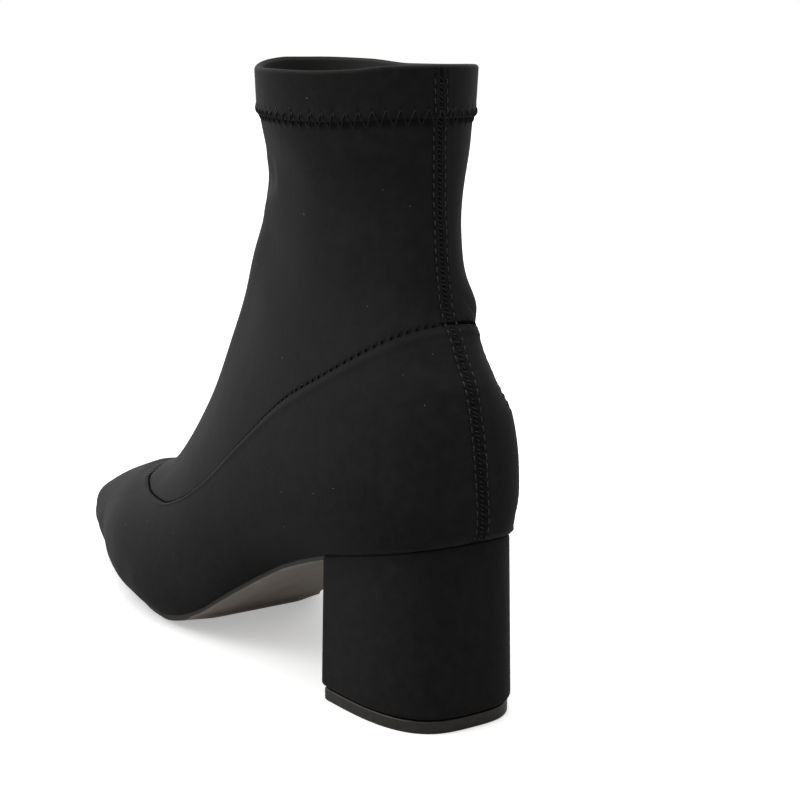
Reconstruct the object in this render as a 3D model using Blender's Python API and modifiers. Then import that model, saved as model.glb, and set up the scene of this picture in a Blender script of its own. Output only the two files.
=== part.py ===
"""Left sock boot: stretch upper, covered block heel, thin sole and pointed toe.

Metres, +X to the toe, +Y to the outer (lateral) side of the foot, +Z up.
The origin is the middle of the heel's top lift, on the floor.
"""

import math

import bmesh
import bpy
import numpy as np

# Driving sizes of the last, in metres
BOOT_LENGTH = 0.257
BOOT_HEIGHT = 0.190
BALL_WIDTH = 0.0805
INSTEP_HEIGHT = 0.096
TOE_HEIGHT = 0.0165
TOE_SPRING = 0.0068
NOSE_ROUNDING = 0.0018
NOSE_LEVEL_SHARE = 0.30
NOSE_TOP_SHARE = 0.50
NOSE_FULLNESS = 2.2
COLLAR_DEPTH = 0.0787
SHAFT_WIDTH = 0.0605
SHAFT_LEAN = 0.0026
ANKLE_INSET = 0.0250

# Heel and sole
HEEL_HEIGHT = 0.0560
BREAST_HEIGHT = 0.0455
HEEL_WIDTH = 0.0469
HEEL_DEPTH = 0.0445
HEEL_ROUNDNESS = 3.2
HEEL_COVER_ROUNDING = 0.0018
HEEL_COVER_TURN_IN = 0.0011
LIFT_THICKNESS = 0.0039
LIFT_INSET = 0.0004
LIFT_CHAMFER = 0.0005
SOLE_THICKNESS = 0.0034
SHANK_THICKNESS = 0.0018
SOLE_INSET = 0.0014
SOLE_CHAMFER = 0.0006
SOLE_CROWN = 0.0011
SOLE_FLAT_SHARE = 0.55
SOLE_STEP_RUN = 0.0030
SOLE_STEP_SHARE = 0.345
SOLE_STEP_BOW = 0.0080

# Upper and insole
UPPER_WALL = 0.0018
BACK_OVERHANG = 0.0040
SEAT_LEDGE = 0.0003
TOE_OVERHANG = 0.0034
BALL_OVERHANG = 0.0064
TOE_SIDE_OVERHANG = 0.0030
PANEL_STEP = 0.0006
HEM_HEIGHT = 0.0145
HEM_STEP = 0.0008
STEP_RUN = 0.0007
INSOLE_THICKNESS = 0.0026
INSOLE_INSET = 0.0024
CLEARANCE = 0.0003

# Mesh fineness
HALF_RING_CELLS = 26
FOOT_RINGS = 14
SHAFT_RINGS = 12
HEM_RINGS = 3
LAYER_PITCH = 0.0045
END_STEPS = (0.0, 0.0003, 0.0012, 0.0030)
LAYER_CELLS = 8
HEEL_ARC_CELLS = 40
COVER_STEPS = (0.0, 0.3, 0.65, 1.0)
PROFILE_POINTS = 200
HEM_POINTS = 12
EDGE_POINTS = 9
SHARP_ANGLE = 40
SAME_PLACE = 1e-6

# Places that follow from the sizes
HEEL_BACK_X = -HEEL_DEPTH / 2
BREAST_X = HEEL_DEPTH / 2
UPPER_BACK_X = HEEL_BACK_X - BACK_OVERHANG
TOE_X = UPPER_BACK_X + BOOT_LENGTH
TIP_X = TOE_X - TOE_OVERHANG
FOREPART = TIP_X - BREAST_X
FEATHER_BASE = SOLE_THICKNESS + CLEARANCE
COLLAR_BACK_X = UPPER_BACK_X + ANKLE_INSET

# Bottom line of the last from breast to toe: share of the forepart,
# rise to the breast as a share of its height, rise to the toe as a share of the spring
BOTTOM_LINE = (
    (0.000, 1.000, 0.00),
    (0.045, 0.928, 0.00),
    (0.120, 0.790, 0.00),
    (0.170, 0.665, 0.00),
    (0.225, 0.510, 0.00),
    (0.280, 0.345, 0.00),
    (0.335, 0.190, 0.00),
    (0.400, 0.060, 0.00),
    (0.460, 0.000, 0.00),
    (0.620, 0.000, 0.00),
    (0.810, 0.000, 0.26),
    (0.950, 0.000, 0.72),
    (1.000, 0.000, 1.00),
)

# Plan outline of the bottom: share of the forepart, and the outer and inner
# half widths as shares of the ball width; the heel's width leads in behind
PLAN_LINE = (
    (0.000, 0.300, 0.160),
    (0.133, 0.321, 0.172),
    (0.205, 0.347, 0.200),
    (0.277, 0.372, 0.222),
    (0.350, 0.385, 0.272),
    (0.420, 0.392, 0.372),
    (0.490, 0.388, 0.444),
    (0.565, 0.358, 0.470),
    (0.637, 0.312, 0.446),
    (0.733, 0.240, 0.360),
    (0.830, 0.165, 0.250),
    (0.915, 0.100, 0.154),
    (1.000, 0.048, 0.072),
)
WAIST_BLEND_SHARE = 0.30
TOE_ROUNDING_SHARE = 0.070

# Back seam from seat to collar: share of the leg's height above the seat,
# and how far it comes in, as a share of the ankle inset
BACK_LINE = (
    (0.020, 0.030),
    (0.055, 0.004),
    (0.108, 0.022),
    (0.165, 0.060),
    (0.220, 0.110),
    (0.277, 0.184),
    (0.330, 0.280),
    (0.373, 0.420),
    (0.418, 0.560),
    (0.455, 0.684),
    (0.490, 0.774),
    (0.550, 0.852),
    (0.640, 0.920),
    (0.760, 0.976),
    (0.880, 0.990),
    (1.000, 1.000),
)

# Front of the shaft from instep to collar: share of the boot's height,
# and distance ahead of the collar's back as a share of the collar's depth
SHAFT_FRONT = (
    (0.595, 1.264),
    (0.689, 1.178),
    (0.789, 1.108),
    (0.895, 1.058),
    (1.000, 1.000),
)

# Ridge of the vamp from toe to instep: share of the forepart, and height
# as a share of the instep height
VAMP_RIDGE = (
    (0.986, 0.2380),
    (0.940, 0.2890),
    (0.868, 0.3560),
    (0.730, 0.4600),
    (0.640, 0.5260),
    (0.550, 0.6300),
    (0.463, 0.8070),
    (0.405, 0.9850),
)

# Panel seam from back to vamp: share of the boot's length from its back,
# share of the boot's height
PANEL_SEAM = (
    (0.0690, 0.613),
    (0.1500, 0.540),
    (0.2300, 0.480),
    (0.3200, 0.395),
    (0.4200, 0.302),
    (0.4900, 0.252),
    (0.5600, 0.224),
    (0.6250, 0.220),
    (0.6850, 0.228),
    (0.7360, 0.240),
)

# Sections of the leg and foot, fanned about a point ahead of the shaft.
# Each row: turn of the fan as a share of a quarter turn, outer and inner half
# widths, where the section is widest, fullness in front and behind
FAN_AHEAD_SHARE = 1.145
FAN_ABOVE_SHARE = 1.130
SHAFT_SECTIONS = (
    (0.076, 0.525, 0.530, 0.49, 2.00, 1.90),
    (0.151, 0.468, 0.478, 0.51, 2.00, 1.95),
    (0.224, 0.376, 0.350, 0.55, 2.00, 2.10),
    (0.295, 0.392, 0.322, 0.60, 1.95, 2.50),
)
FOOT_SECTIONS = (
    (0.349, 0.366, 0.300, 0.64, 1.90, 2.80),
    (0.401, 0.415, 0.332, 0.65, 1.80, 2.75),
    (0.475, 0.428, 0.352, 0.68, 1.80, 2.60),
    (0.544, 0.420, 0.362, 0.69, 1.80, 2.20),
    (0.609, 0.428, 0.400, 0.71, 1.80, 2.00),
    (0.690, 0.452, 0.500, 0.75, 1.80, 2.00),
    (0.764, 0.340, 0.470, 0.75, 1.80, 2.00),
    (0.835, 0.200, 0.280, 0.73, 1.80, 2.00),
    (0.902, 0.060, 0.080, 0.68, 1.90, 2.00),
)
FEATHER_TUCK_SHARE = 0.90
VAMP_BLEND_SHARES = (0.690, 0.740)
NOSE_FROM_SHARE = 0.860

# Finishes: colour, roughness
FINISHES = {
    "upper": ((0.012, 0.012, 0.013, 1.0), 0.85),
    "insole": ((0.030, 0.028, 0.027, 1.0), 0.80),
    "outsole": ((0.060, 0.052, 0.045, 1.0), 0.55),
    "heel": ((0.012, 0.012, 0.013, 1.0), 0.85),
    "top_lift": ((0.022, 0.019, 0.018, 1.0), 0.50),
}


def smooth(rows, column, at):
    """Smooth curve through the rows of a table, with no overshoot between them."""
    table = np.array(rows, dtype=float)
    if table[0, 0] > table[-1, 0]:
        table = table[::-1]
    along, value = table[:, 0], table[:, column]
    run = np.diff(along)
    slope = np.diff(value) / run
    tangent = np.concatenate((slope[:1], np.zeros(len(along) - 2), slope[-1:]))
    for i in range(1, len(along) - 1):
        before, after = slope[i - 1], slope[i]
        if before * after > 0:
            lead = 2 * run[i] + run[i - 1]
            trail = run[i] + 2 * run[i - 1]
            tangent[i] = (lead + trail) / (lead / before + trail / after)
    at = np.clip(at, along[0], along[-1])
    cell = np.clip(np.searchsorted(along, at, side="right") - 1, 0, len(run) - 1)
    t = (at - along[cell]) / run[cell]
    return (
        (2 * t**3 - 3 * t**2 + 1) * value[cell]
        + (t**3 - 2 * t**2 + t) * run[cell] * tangent[cell]
        + (3 * t**2 - 2 * t**3) * value[cell + 1]
        + (t**3 - t**2) * run[cell] * tangent[cell + 1]
    )


def ease(share):
    """Soft step from 0 to 1."""
    share = np.clip(share, 0.0, 1.0)
    return share * share * (3 - 2 * share)


def superellipse(share, power):
    """Height of a superellipse's quarter at a share of its run."""
    return (1 - np.clip(share, 0.0, 1.0) ** power) ** (1 / power)


def path(points):
    """Smooth side-view line through points, with an even share along it."""
    points = np.array(points, dtype=float)
    steps = np.hypot(*np.diff(points, axis=0).T)
    share = np.concatenate(([0.0], np.cumsum(steps)))
    share /= share[-1]
    even = np.linspace(0.0, 1.0, PROFILE_POINTS)
    rows = np.column_stack((share, points))
    return np.column_stack((smooth(rows, 1, even), smooth(rows, 2, even)))


def along_path(line, share):
    """Points at shares of a line's own length."""
    steps = np.hypot(*np.diff(line, axis=0).T)
    length = np.concatenate(([0.0], np.cumsum(steps)))
    length /= length[-1]
    return np.column_stack([np.interp(share, length, line[:, k]) for k in (0, 1)])


def seat_height(x):
    """Top of the heel, which slopes down from back to breast."""
    slope = (BREAST_HEIGHT - HEEL_HEIGHT) / HEEL_DEPTH
    return HEEL_HEIGHT + slope * (x - HEEL_BACK_X)


def bottom_height(x):
    """Underside of insole and upper: the seat, the shank, the tread and the toe spring."""
    share = (x - BREAST_X) / FOREPART
    rise = smooth(BOTTOM_LINE, 1, share) * (BREAST_HEIGHT - FEATHER_BASE)
    spring = smooth(BOTTOM_LINE, 2, share) * TOE_SPRING
    return np.where(x < BREAST_X, seat_height(x), FEATHER_BASE + rise + spring)


def heel_outline(x, grow=0.0):
    """Half width of the heel's D-shaped plan, grown or shrunk all round."""
    depth = HEEL_DEPTH + grow
    share = (BREAST_X - x) / depth
    return (HEEL_WIDTH / 2 + grow) * superellipse(share, HEEL_ROUNDNESS)


def bottom_outline(x, side):
    """Half width of the bottom of the upper, outer side (+1) or inner side (-1)."""
    share = (x - BREAST_X) / FOREPART
    ball = smooth(PLAN_LINE, 1 if side > 0 else 2, share) * BALL_WIDTH
    lead = 1 - ease(share / WAIST_BLEND_SHARE)
    forepart = lead * (HEEL_WIDTH / 2 + SEAT_LEDGE) + (1 - lead) * ball
    forepart = forepart * superellipse((share - 1 + TOE_ROUNDING_SHARE) / TOE_ROUNDING_SHARE, 2)
    return np.where(x < BREAST_X, heel_outline(x, SEAT_LEDGE), forepart)


def back_line():
    """Back seam in side view, from the seat up to the collar."""
    leg = BOOT_HEIGHT - HEEL_HEIGHT
    start = HEEL_BACK_X - SEAT_LEDGE
    points = [(start, float(bottom_height(np.array(start))))]
    for up, inset in BACK_LINE:
        points.append((UPPER_BACK_X + inset * ANKLE_INSET, HEEL_HEIGHT + up * leg))
    return path(points)


def nose_point():
    """Foremost point of the toe."""
    return (TOE_X, FEATHER_BASE + TOE_SPRING + NOSE_LEVEL_SHARE * TOE_HEIGHT)


def front_line():
    """Front of the boot in side view, from the nose over the vamp up to the collar."""
    points = [nose_point()]
    over_nose = FEATHER_BASE + TOE_SPRING + NOSE_TOP_SHARE * TOE_HEIGHT
    points.append((TOE_X - NOSE_ROUNDING, over_nose))
    for along, up in VAMP_RIDGE:
        points.append((BREAST_X + along * FOREPART, up * INSTEP_HEIGHT))
    for up, depth in SHAFT_FRONT:
        points.append((COLLAR_BACK_X + depth * COLLAR_DEPTH, up * BOOT_HEIGHT))
    return path(points)


def fan(x, z):
    """Turn and reach of a side-view point in the fan of sections."""
    ahead = FAN_AHEAD_SHARE - (x - UPPER_BACK_X) / BOOT_LENGTH
    above = FAN_ABOVE_SHARE - z / BOOT_HEIGHT
    return np.arctan2(above, ahead) / (math.pi / 2), np.hypot(above, ahead)


class Last:
    """Outer surface of the upper: its half width at any side-view point."""

    def __init__(self):
        tip = np.linspace(HEEL_BACK_X - SEAT_LEDGE, TIP_X, PROFILE_POINTS)
        self.bottom = np.column_stack((tip, bottom_height(tip)))
        self.back = back_line()
        self.front = front_line()
        nose = np.array([self.bottom[-1], nose_point()])
        rear = np.vstack((self.back[::-1], self.bottom[1:], nose[1:]))
        turn, reach = fan(rear[:, 0], rear[:, 1])
        order = np.argsort(turn)
        self.rear_turn = turn[order]
        self.rear_reach = reach[order]
        self.rear_x = rear[order, 0]
        turn, reach = fan(self.front[:, 0], self.front[:, 1])
        order = np.argsort(turn)
        self.front_turn = turn[order]
        self.front_reach = reach[order]
        self.seat_turn = float(fan(*self.bottom[0])[0])
        self.tip_turn = float(fan(*self.bottom[-1])[0])
        self.nose_turn = float(fan(*nose_point())[0])
        scaled = [(r[0], r[1] * SHAFT_WIDTH, r[2] * SHAFT_WIDTH) + r[3:] for r in SHAFT_SECTIONS]
        scaled += [(r[0], r[1] * BALL_WIDTH, r[2] * BALL_WIDTH) + r[3:] for r in FOOT_SECTIONS]
        self.sections = scaled

    def half_width(self, x, z, side):
        """Distance of the surface from the middle plane, on one side."""
        turn, reach = fan(x, z)
        front = np.interp(turn, self.front_turn, self.front_reach)
        rear = np.interp(turn, self.rear_turn, self.rear_reach)
        share = np.clip((reach - front) / np.maximum(rear - front, SAME_PLACE), 0.0, 1.0)
        rear_x = np.interp(turn, self.rear_turn, self.rear_x)
        on_bottom = (turn > self.seat_turn) & (turn < self.tip_turn)
        edge = np.where(on_bottom, bottom_outline(rear_x, side), 0.0)
        width = smooth(self.sections, 1 if side > 0 else 2, turn)
        widest = smooth(self.sections, 3, turn)
        front_power = smooth(self.sections, 4, turn)
        rear_power = smooth(self.sections, 5, turn)
        close = superellipse((turn - NOSE_FROM_SHARE) / (self.nose_turn - NOSE_FROM_SHARE), NOSE_FULLNESS)
        vamp = ease((turn - VAMP_BLEND_SHARES[0]) / (VAMP_BLEND_SHARES[1] - VAMP_BLEND_SHARES[0]))
        toe = ease((turn - VAMP_BLEND_SHARES[1]) / (NOSE_FROM_SHARE - VAMP_BLEND_SHARES[1]))
        overhang = (1 - toe) * BALL_OVERHANG + toe * TOE_SIDE_OVERHANG
        width = (1 - vamp) * width + vamp * (edge + overhang * close)
        edge = np.minimum(edge, width)
        ahead = width * superellipse((widest - share) / widest, front_power)
        tuck = np.where(on_bottom, FEATHER_TUCK_SHARE, 1.0)
        bulge = superellipse((share - widest) / (1 - widest) * tuck, rear_power)
        floor = superellipse(tuck, rear_power)
        behind = edge + (width - edge) * (bulge - floor) / (1 - floor)
        return np.where(share < widest, ahead, behind)

    def lean(self, z):
        """Sideways set of the middle plane, which leans inwards up the shaft."""
        return -SHAFT_LEAN * ease((z - HEEL_HEIGHT) / (BOOT_HEIGHT - HEEL_HEIGHT))


def patch(lower, upper, back, front, rows, shares):
    """Side-view grid between four lines, from lower to upper and back to front."""
    low = along_path(lower, shares)
    high = along_path(upper, shares)
    rise = np.linspace(0.0, 1.0, rows + 1)
    rear = along_path(back, rise)
    fore = along_path(front, rise)
    u = rise[:, None, None]
    t = shares[None, :, None]
    ruled = (1 - u) * low[None] + u * high[None]
    across = (1 - t) * rear[:, None] + t * fore[:, None]
    corners = (1 - u) * (1 - t) * low[0] + (1 - u) * t * low[-1]
    corners = corners + u * (1 - t) * high[0] + u * t * high[-1]
    return ruled + across - corners


def split(line, point):
    """Cut a line at its nearest point, which moves onto the given point."""
    place = int(np.argmin(np.hypot(*(line - point).T)))
    first = np.vstack((line[:place], point))
    second = np.vstack((point, line[place + 1 :]))
    return first, second


def straight(start, end):
    """Straight side-view line."""
    share = np.linspace(0.0, 1.0, HEM_POINTS)[:, None]
    return np.array(start) + share * (np.array(end) - np.array(start))


def nearest(line, point):
    """Point of a line nearest to the given one."""
    return line[int(np.argmin(np.hypot(*(line - np.array(point)).T)))]


def seam_line(last):
    """Panel seam in side view, ending on the back seam and on the vamp's ridge."""
    points = [
        (UPPER_BACK_X + along * BOOT_LENGTH, up * BOOT_HEIGHT) for along, up in PANEL_SEAM
    ]
    points[0] = tuple(nearest(last.back, points[0]))
    points[-1] = tuple(nearest(last.front, points[-1]))
    return path(points)


def upper_rings(last):
    """Side-view rings from the bottom to the collar, with how far each is raised."""
    shares = (1 - np.cos(np.linspace(0.0, math.pi, HALF_RING_CELLS + 1))) / 2
    seam = seam_line(last)
    hem_back = nearest(last.back, (COLLAR_BACK_X, BOOT_HEIGHT - HEM_HEIGHT))
    hem_front = nearest(last.front, (COLLAR_BACK_X + COLLAR_DEPTH, BOOT_HEIGHT - HEM_HEIGHT))
    hem = straight(hem_back, hem_front)
    collar = straight(last.back[-1], last.front[-1])
    back_foot, back_rest = split(last.back, seam[0])
    back_shaft, back_hem = split(back_rest, hem[0])
    nose_and_vamp = np.vstack((last.bottom[-1], last.front))
    front_foot, front_rest = split(nose_and_vamp, seam[-1])
    front_shaft, front_hem = split(front_rest, hem[-1])
    foot = patch(last.bottom, seam, back_foot, front_foot, FOOT_RINGS, shares)
    shaft = patch(seam, hem, back_shaft, front_shaft, SHAFT_RINGS, shares)
    top = patch(hem, collar, back_hem, front_hem, HEM_RINGS, shares)
    rings = [(ring, PANEL_STEP) for ring in foot]
    rings.append((shaft[0] + step_along(shaft[0], shaft[1]), 0.0))
    rings += [(ring, 0.0) for ring in shaft[1:-1]]
    rings.append((shaft[-1] + step_along(shaft[-1], shaft[-2]), 0.0))
    rings += [(ring, HEM_STEP) for ring in top]
    return rings


def step_along(ring, towards):
    """Small move of a ring towards its neighbour, as long as a wall's step."""
    move = towards - ring
    length = np.hypot(move[:, 0], move[:, 1])[:, None]
    return move / np.maximum(length, SAME_PLACE) * STEP_RUN


def ring_points(last, ring, is_bottom):
    """Points round one ring: back, outer side, front, inner side."""
    x, z = ring[:, 0], ring[:, 1]
    middle = last.lean(z)
    sides = []
    for side in (1, -1):
        width = bottom_outline(x, side) if is_bottom else last.half_width(x, z, side)
        width = np.array(width)
        width[0] = 0.0
        width[-1] = 0.0
        sides.append(np.column_stack((x, middle + side * width, z)))
    return np.vstack((sides[0], sides[1][-2:0:-1]))


def new_object(name, mesh, collection):
    """Put a mesh in the boot's collection with its own material."""
    colour, roughness = FINISHES[name]
    material = bpy.data.materials.new(name)
    material.use_nodes = True
    shader = material.node_tree.nodes["Principled BSDF"]
    shader.inputs["Base Color"].default_value = colour
    shader.inputs["Roughness"].default_value = roughness
    shader.inputs["Metallic"].default_value = 0.0
    mesh.materials.append(material)
    mesh.shade_smooth()
    mesh.set_sharp_from_angle(angle=math.radians(SHARP_ANGLE))
    obj = bpy.data.objects.new(name, mesh)
    collection.objects.link(obj)
    return obj


def make_upper(last, collection):
    """Upper: one stretch wall from the feather line to the collar, open at both."""
    rings = upper_rings(last)
    count = 2 * HALF_RING_CELLS
    bm = bmesh.new()
    rows = []
    for place, (ring, _) in enumerate(rings):
        points = ring_points(last, ring, place == 0)
        rows.append([bm.verts.new(point) for point in points])
    for low, high in zip(rows, rows[1:]):
        for k in range(count):
            after = (k + 1) % count
            bm.faces.new((low[k], high[k], high[after], low[after]))
    bmesh.ops.recalc_face_normals(bm, faces=bm.faces)
    bm.normal_update()
    outward = sum(face.normal.y * face.calc_center_median().y for face in bm.faces)
    if outward < 0:
        bmesh.ops.reverse_faces(bm, faces=bm.faces)
    normals = [[vert.normal.copy() for vert in row] for row in rows]
    for row, lines, (_, raised) in zip(rows, normals, rings):
        for vert, normal in zip(row, lines):
            vert.co += normal * (raised - PANEL_STEP)
    mesh = bpy.data.meshes.new("upper")
    bm.to_mesh(mesh)
    bm.free()
    upper = new_object("upper", mesh, collection)
    wall = upper.modifiers.new("wall", "SOLIDIFY")
    wall.thickness = UPPER_WALL
    wall.offset = -1.0
    wall.use_even_offset = True
    return upper


def layer(name, x_start, inset, top, bottom, collection):
    """Layer that follows the bottom of the last: a grid above, a grid below, a side."""
    stations = layer_stations(x_start, TIP_X - inset)
    across = np.sin(np.linspace(-math.pi / 2, math.pi / 2, LAYER_CELLS + 1))
    bm = bmesh.new()
    grids = []
    for surface in (top, bottom):
        grid = []
        for x in stations:
            reach = [edge_inside(x, side, inset) for side in (-1, 1)]
            row = []
            for share_across in across:
                half = reach[1] if share_across > 0 else reach[0]
                y = share_across * half
                out = abs(share_across) if max(reach) > SAME_PLACE else 1.0
                row.append(bm.verts.new((x, y, surface(x, y, out))))
            grid.append(row)
        grids.append(grid)
    for grid, flip in zip(grids, (False, True)):
        for one, two in zip(grid, grid[1:]):
            for k in range(LAYER_CELLS):
                corners = [one[k], two[k], two[k + 1], one[k + 1]]
                bm.faces.new(corners[::-1] if flip else corners)
    above, below = grids
    rim_above = border(above)
    rim_below = border(below)
    count = len(rim_above)
    for k in range(count):
        after = (k + 1) % count
        bm.faces.new((rim_above[k], rim_above[after], rim_below[after], rim_below[k]))
    bmesh.ops.remove_doubles(bm, verts=bm.verts, dist=SAME_PLACE)
    bmesh.ops.recalc_face_normals(bm, faces=bm.faces)
    mesh = bpy.data.meshes.new(name)
    bm.to_mesh(mesh)
    bm.free()
    return new_object(name, mesh, collection)


def layer_stations(start, end):
    """Places of a layer's cross rows: even ones that all layers share, closer at the ends."""
    first = math.ceil((start + END_STEPS[-1] - BREAST_X) / LAYER_PITCH)
    last = math.floor((end - END_STEPS[-1] - BREAST_X) / LAYER_PITCH)
    near_start = [start + step for step in END_STEPS]
    shared = [BREAST_X + k * LAYER_PITCH for k in range(first + 1, last)]
    near_end = [end - step for step in reversed(END_STEPS)]
    return near_start + shared + near_end


def edge_inside(x, side, inset):
    """Half width of the bottom outline at x, set in all round by the inset."""
    near = np.linspace(x - inset, x + inset, EDGE_POINTS)
    drop = np.sqrt(np.maximum(inset**2 - (near - x) ** 2, 0.0))
    start = HEEL_BACK_X - SEAT_LEDGE
    inside = (near >= start) & (near <= TIP_X)
    width = np.where(inside, bottom_outline(np.clip(near, start, TIP_X), side), 0.0)
    return max(float(np.min(width - drop)), 0.0)


def border(grid):
    """Corner points round a grid, once each."""
    ring = list(grid[0])
    ring += [row[-1] for row in grid[1:]]
    ring += list(grid[-1][-2::-1])
    ring += [row[0] for row in grid[-2:0:-1]]
    return ring


def make_insole(collection):
    """Insole board, inside the upper from heel to toe."""
    inset = INSOLE_INSET
    start = HEEL_BACK_X - SEAT_LEDGE + inset

    def underside(x, y, out):
        return float(bottom_height(np.array(x)))

    def topside(x, y, out):
        return underside(x, y, out) + INSOLE_THICKNESS

    return layer("insole", start, inset, topside, underside, collection)


def step_line(y):
    """Where the thick forepart of the sole ends, curved across the waist."""
    return BREAST_X + SOLE_STEP_SHARE * FOREPART + SOLE_STEP_BOW * (y / (BALL_WIDTH / 2)) ** 2


def make_outsole(collection):
    """Outsole: thin under the arch, thick at the forepart with a curved step."""

    def topside(x, y, out):
        return float(bottom_height(np.array(x))) - CLEARANCE

    def underside(x, y, out):
        forepart = float(ease((x - step_line(y)) / SOLE_STEP_RUN))
        thick = SHANK_THICKNESS + (SOLE_THICKNESS - SHANK_THICKNESS) * forepart
        crown = SOLE_CROWN * float(ease((out - SOLE_FLAT_SHARE) / (1 - SOLE_FLAT_SHARE))) * forepart
        chamfer = SOLE_CHAMFER if out > 1 - SAME_PLACE else 0.0
        return topside(x, y, out) - thick + crown + chamfer

    return layer("outsole", BREAST_X + CLEARANCE, SOLE_INSET, topside, underside, collection)


def heel_ring(grow, height):
    """Points round the heel's D-shaped plan at a height given as a function of x."""
    turn = np.linspace(-math.pi / 2, math.pi / 2, HEEL_ARC_CELLS + 1)
    power = 2 / HEEL_ROUNDNESS
    half = HEEL_WIDTH / 2 + grow
    depth = HEEL_DEPTH + 2 * grow
    points = []
    for angle in turn:
        y = math.copysign(abs(math.sin(angle)) ** power, math.sin(angle)) * half
        x = BREAST_X + grow - abs(math.cos(angle)) ** power * depth
        points.append((x, y, height(x)))
    return points


def stack_rings(name, rings, collection):
    """Closed block from rings laid one above another."""
    bm = bmesh.new()
    rows = [[bm.verts.new(point) for point in ring] for ring in rings]
    for low, high in zip(rows, rows[1:]):
        count = len(low)
        for k in range(count):
            after = (k + 1) % count
            bm.faces.new((low[k], low[after], high[after], high[k]))
    bm.faces.new(rows[0])
    bm.faces.new(rows[-1][::-1])
    bmesh.ops.recalc_face_normals(bm, faces=bm.faces)
    mesh = bpy.data.meshes.new(name)
    bm.to_mesh(mesh)
    bm.free()
    return new_object(name, mesh, collection)


def make_heel(collection):
    """Block heel, covered in the upper's fabric, turned in at its bottom edge."""
    floor = LIFT_THICKNESS + CLEARANCE
    rings = []
    for share in COVER_STEPS:
        turn_in = HEEL_COVER_TURN_IN * (1 - math.sqrt(1 - (1 - share) ** 2))
        height = floor + HEEL_COVER_ROUNDING * share
        rings.append(heel_ring(-turn_in, lambda x, z=height: z))
    rings.append(heel_ring(0.0, lambda x: float(seat_height(x)) - CLEARANCE))
    return stack_rings("heel", rings, collection)


def make_top_lift(collection):
    """Rubber top lift under the heel, set in a little from the cover."""
    rings = [
        heel_ring(-LIFT_INSET - LIFT_CHAMFER, lambda x: 0.0),
        heel_ring(-LIFT_INSET, lambda x: LIFT_CHAMFER),
        heel_ring(-LIFT_INSET, lambda x: LIFT_THICKNESS),
    ]
    return stack_rings("top_lift", rings, collection)


def main():
    for obj in list(bpy.data.objects):
        bpy.data.objects.remove(obj)
    boot = bpy.data.collections.new("sock_boot")
    bpy.context.scene.collection.children.link(boot)
    make_upper(Last(), boot)
    make_insole(boot)
    make_outsole(boot)
    make_heel(boot)
    make_top_lift(boot)


main()
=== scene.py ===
"""Left sock boot in black stretch fabric, seen from behind on its outer side."""

import math

import bpy
import numpy as np
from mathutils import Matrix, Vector


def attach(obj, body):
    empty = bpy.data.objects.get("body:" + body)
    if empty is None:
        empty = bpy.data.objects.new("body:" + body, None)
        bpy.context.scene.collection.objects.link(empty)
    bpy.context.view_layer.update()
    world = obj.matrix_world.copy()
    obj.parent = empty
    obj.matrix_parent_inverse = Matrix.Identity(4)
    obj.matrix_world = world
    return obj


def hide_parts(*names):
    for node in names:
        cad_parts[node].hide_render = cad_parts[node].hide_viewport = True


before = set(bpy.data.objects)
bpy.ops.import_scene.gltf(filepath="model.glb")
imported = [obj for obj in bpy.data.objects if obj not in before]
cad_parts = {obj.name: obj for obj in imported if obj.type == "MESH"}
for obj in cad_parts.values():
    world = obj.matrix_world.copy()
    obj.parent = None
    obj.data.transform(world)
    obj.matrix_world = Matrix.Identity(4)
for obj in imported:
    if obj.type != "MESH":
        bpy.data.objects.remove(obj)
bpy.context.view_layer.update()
MM = 0.001

# Camera: behind the boot on its outer side, a little above the collar
camera_data = bpy.data.cameras.new("camera")
camera_data.lens = 79.29
camera_data.sensor_width = 36.0
camera_data.clip_start = 0.02
camera = bpy.data.objects.new("camera", camera_data)
bpy.context.scene.collection.objects.link(camera)
yaw, pitch = math.radians(-34.29), math.radians(11.05)
aim = Vector((math.cos(yaw) * math.cos(pitch), math.sin(yaw) * math.cos(pitch), -math.sin(pitch)))
camera.location = (-0.4127, 0.2919, 0.1926)
camera.rotation_euler = aim.to_track_quat("-Z", "Y").to_euler()
bpy.context.scene.camera = camera
bpy.context.scene.view_settings.view_transform = "Standard"

# Studio: white all round, bright ahead of the toe and dim behind the heel, with a
# soft box on the outer side and a wide soft light above
world = bpy.data.worlds.new("studio")
bpy.context.scene.world = world
world.use_nodes = True
sky = world.node_tree
sky_way = sky.nodes.new("ShaderNodeTexCoord")
sky_ahead = sky.nodes.new("ShaderNodeVectorMath")
sky_ahead.operation = "DOT_PRODUCT"
sky_ahead.inputs[1].default_value = (0.85, 0.15, 0.35)
sky_level = sky.nodes.new("ShaderNodeMapRange")
sky_level.inputs["From Min"].default_value = -1.0
sky_level.inputs["From Max"].default_value = 1.0
sky_level.inputs["To Min"].default_value = 0.12
sky_level.inputs["To Max"].default_value = 1.28
sky.links.new(sky_way.outputs["Generated"], sky_ahead.inputs[0])
sky.links.new(sky_ahead.outputs["Value"], sky_level.inputs["Value"])
sky_seen = sky.nodes.new("ShaderNodeLightPath")
sky_shown = sky.nodes.new("ShaderNodeMix")
sky_shown.data_type = "RGBA"
sky_shown.inputs[7].default_value = (1.0, 1.0, 1.0, 1.0)
sky.links.new(sky_seen.outputs["Is Camera Ray"], sky_shown.inputs[0])
sky.links.new(sky_level.outputs["Result"], sky_shown.inputs[6])
sky.links.new(sky_shown.outputs[2], sky.nodes["Background"].inputs["Color"])

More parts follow.
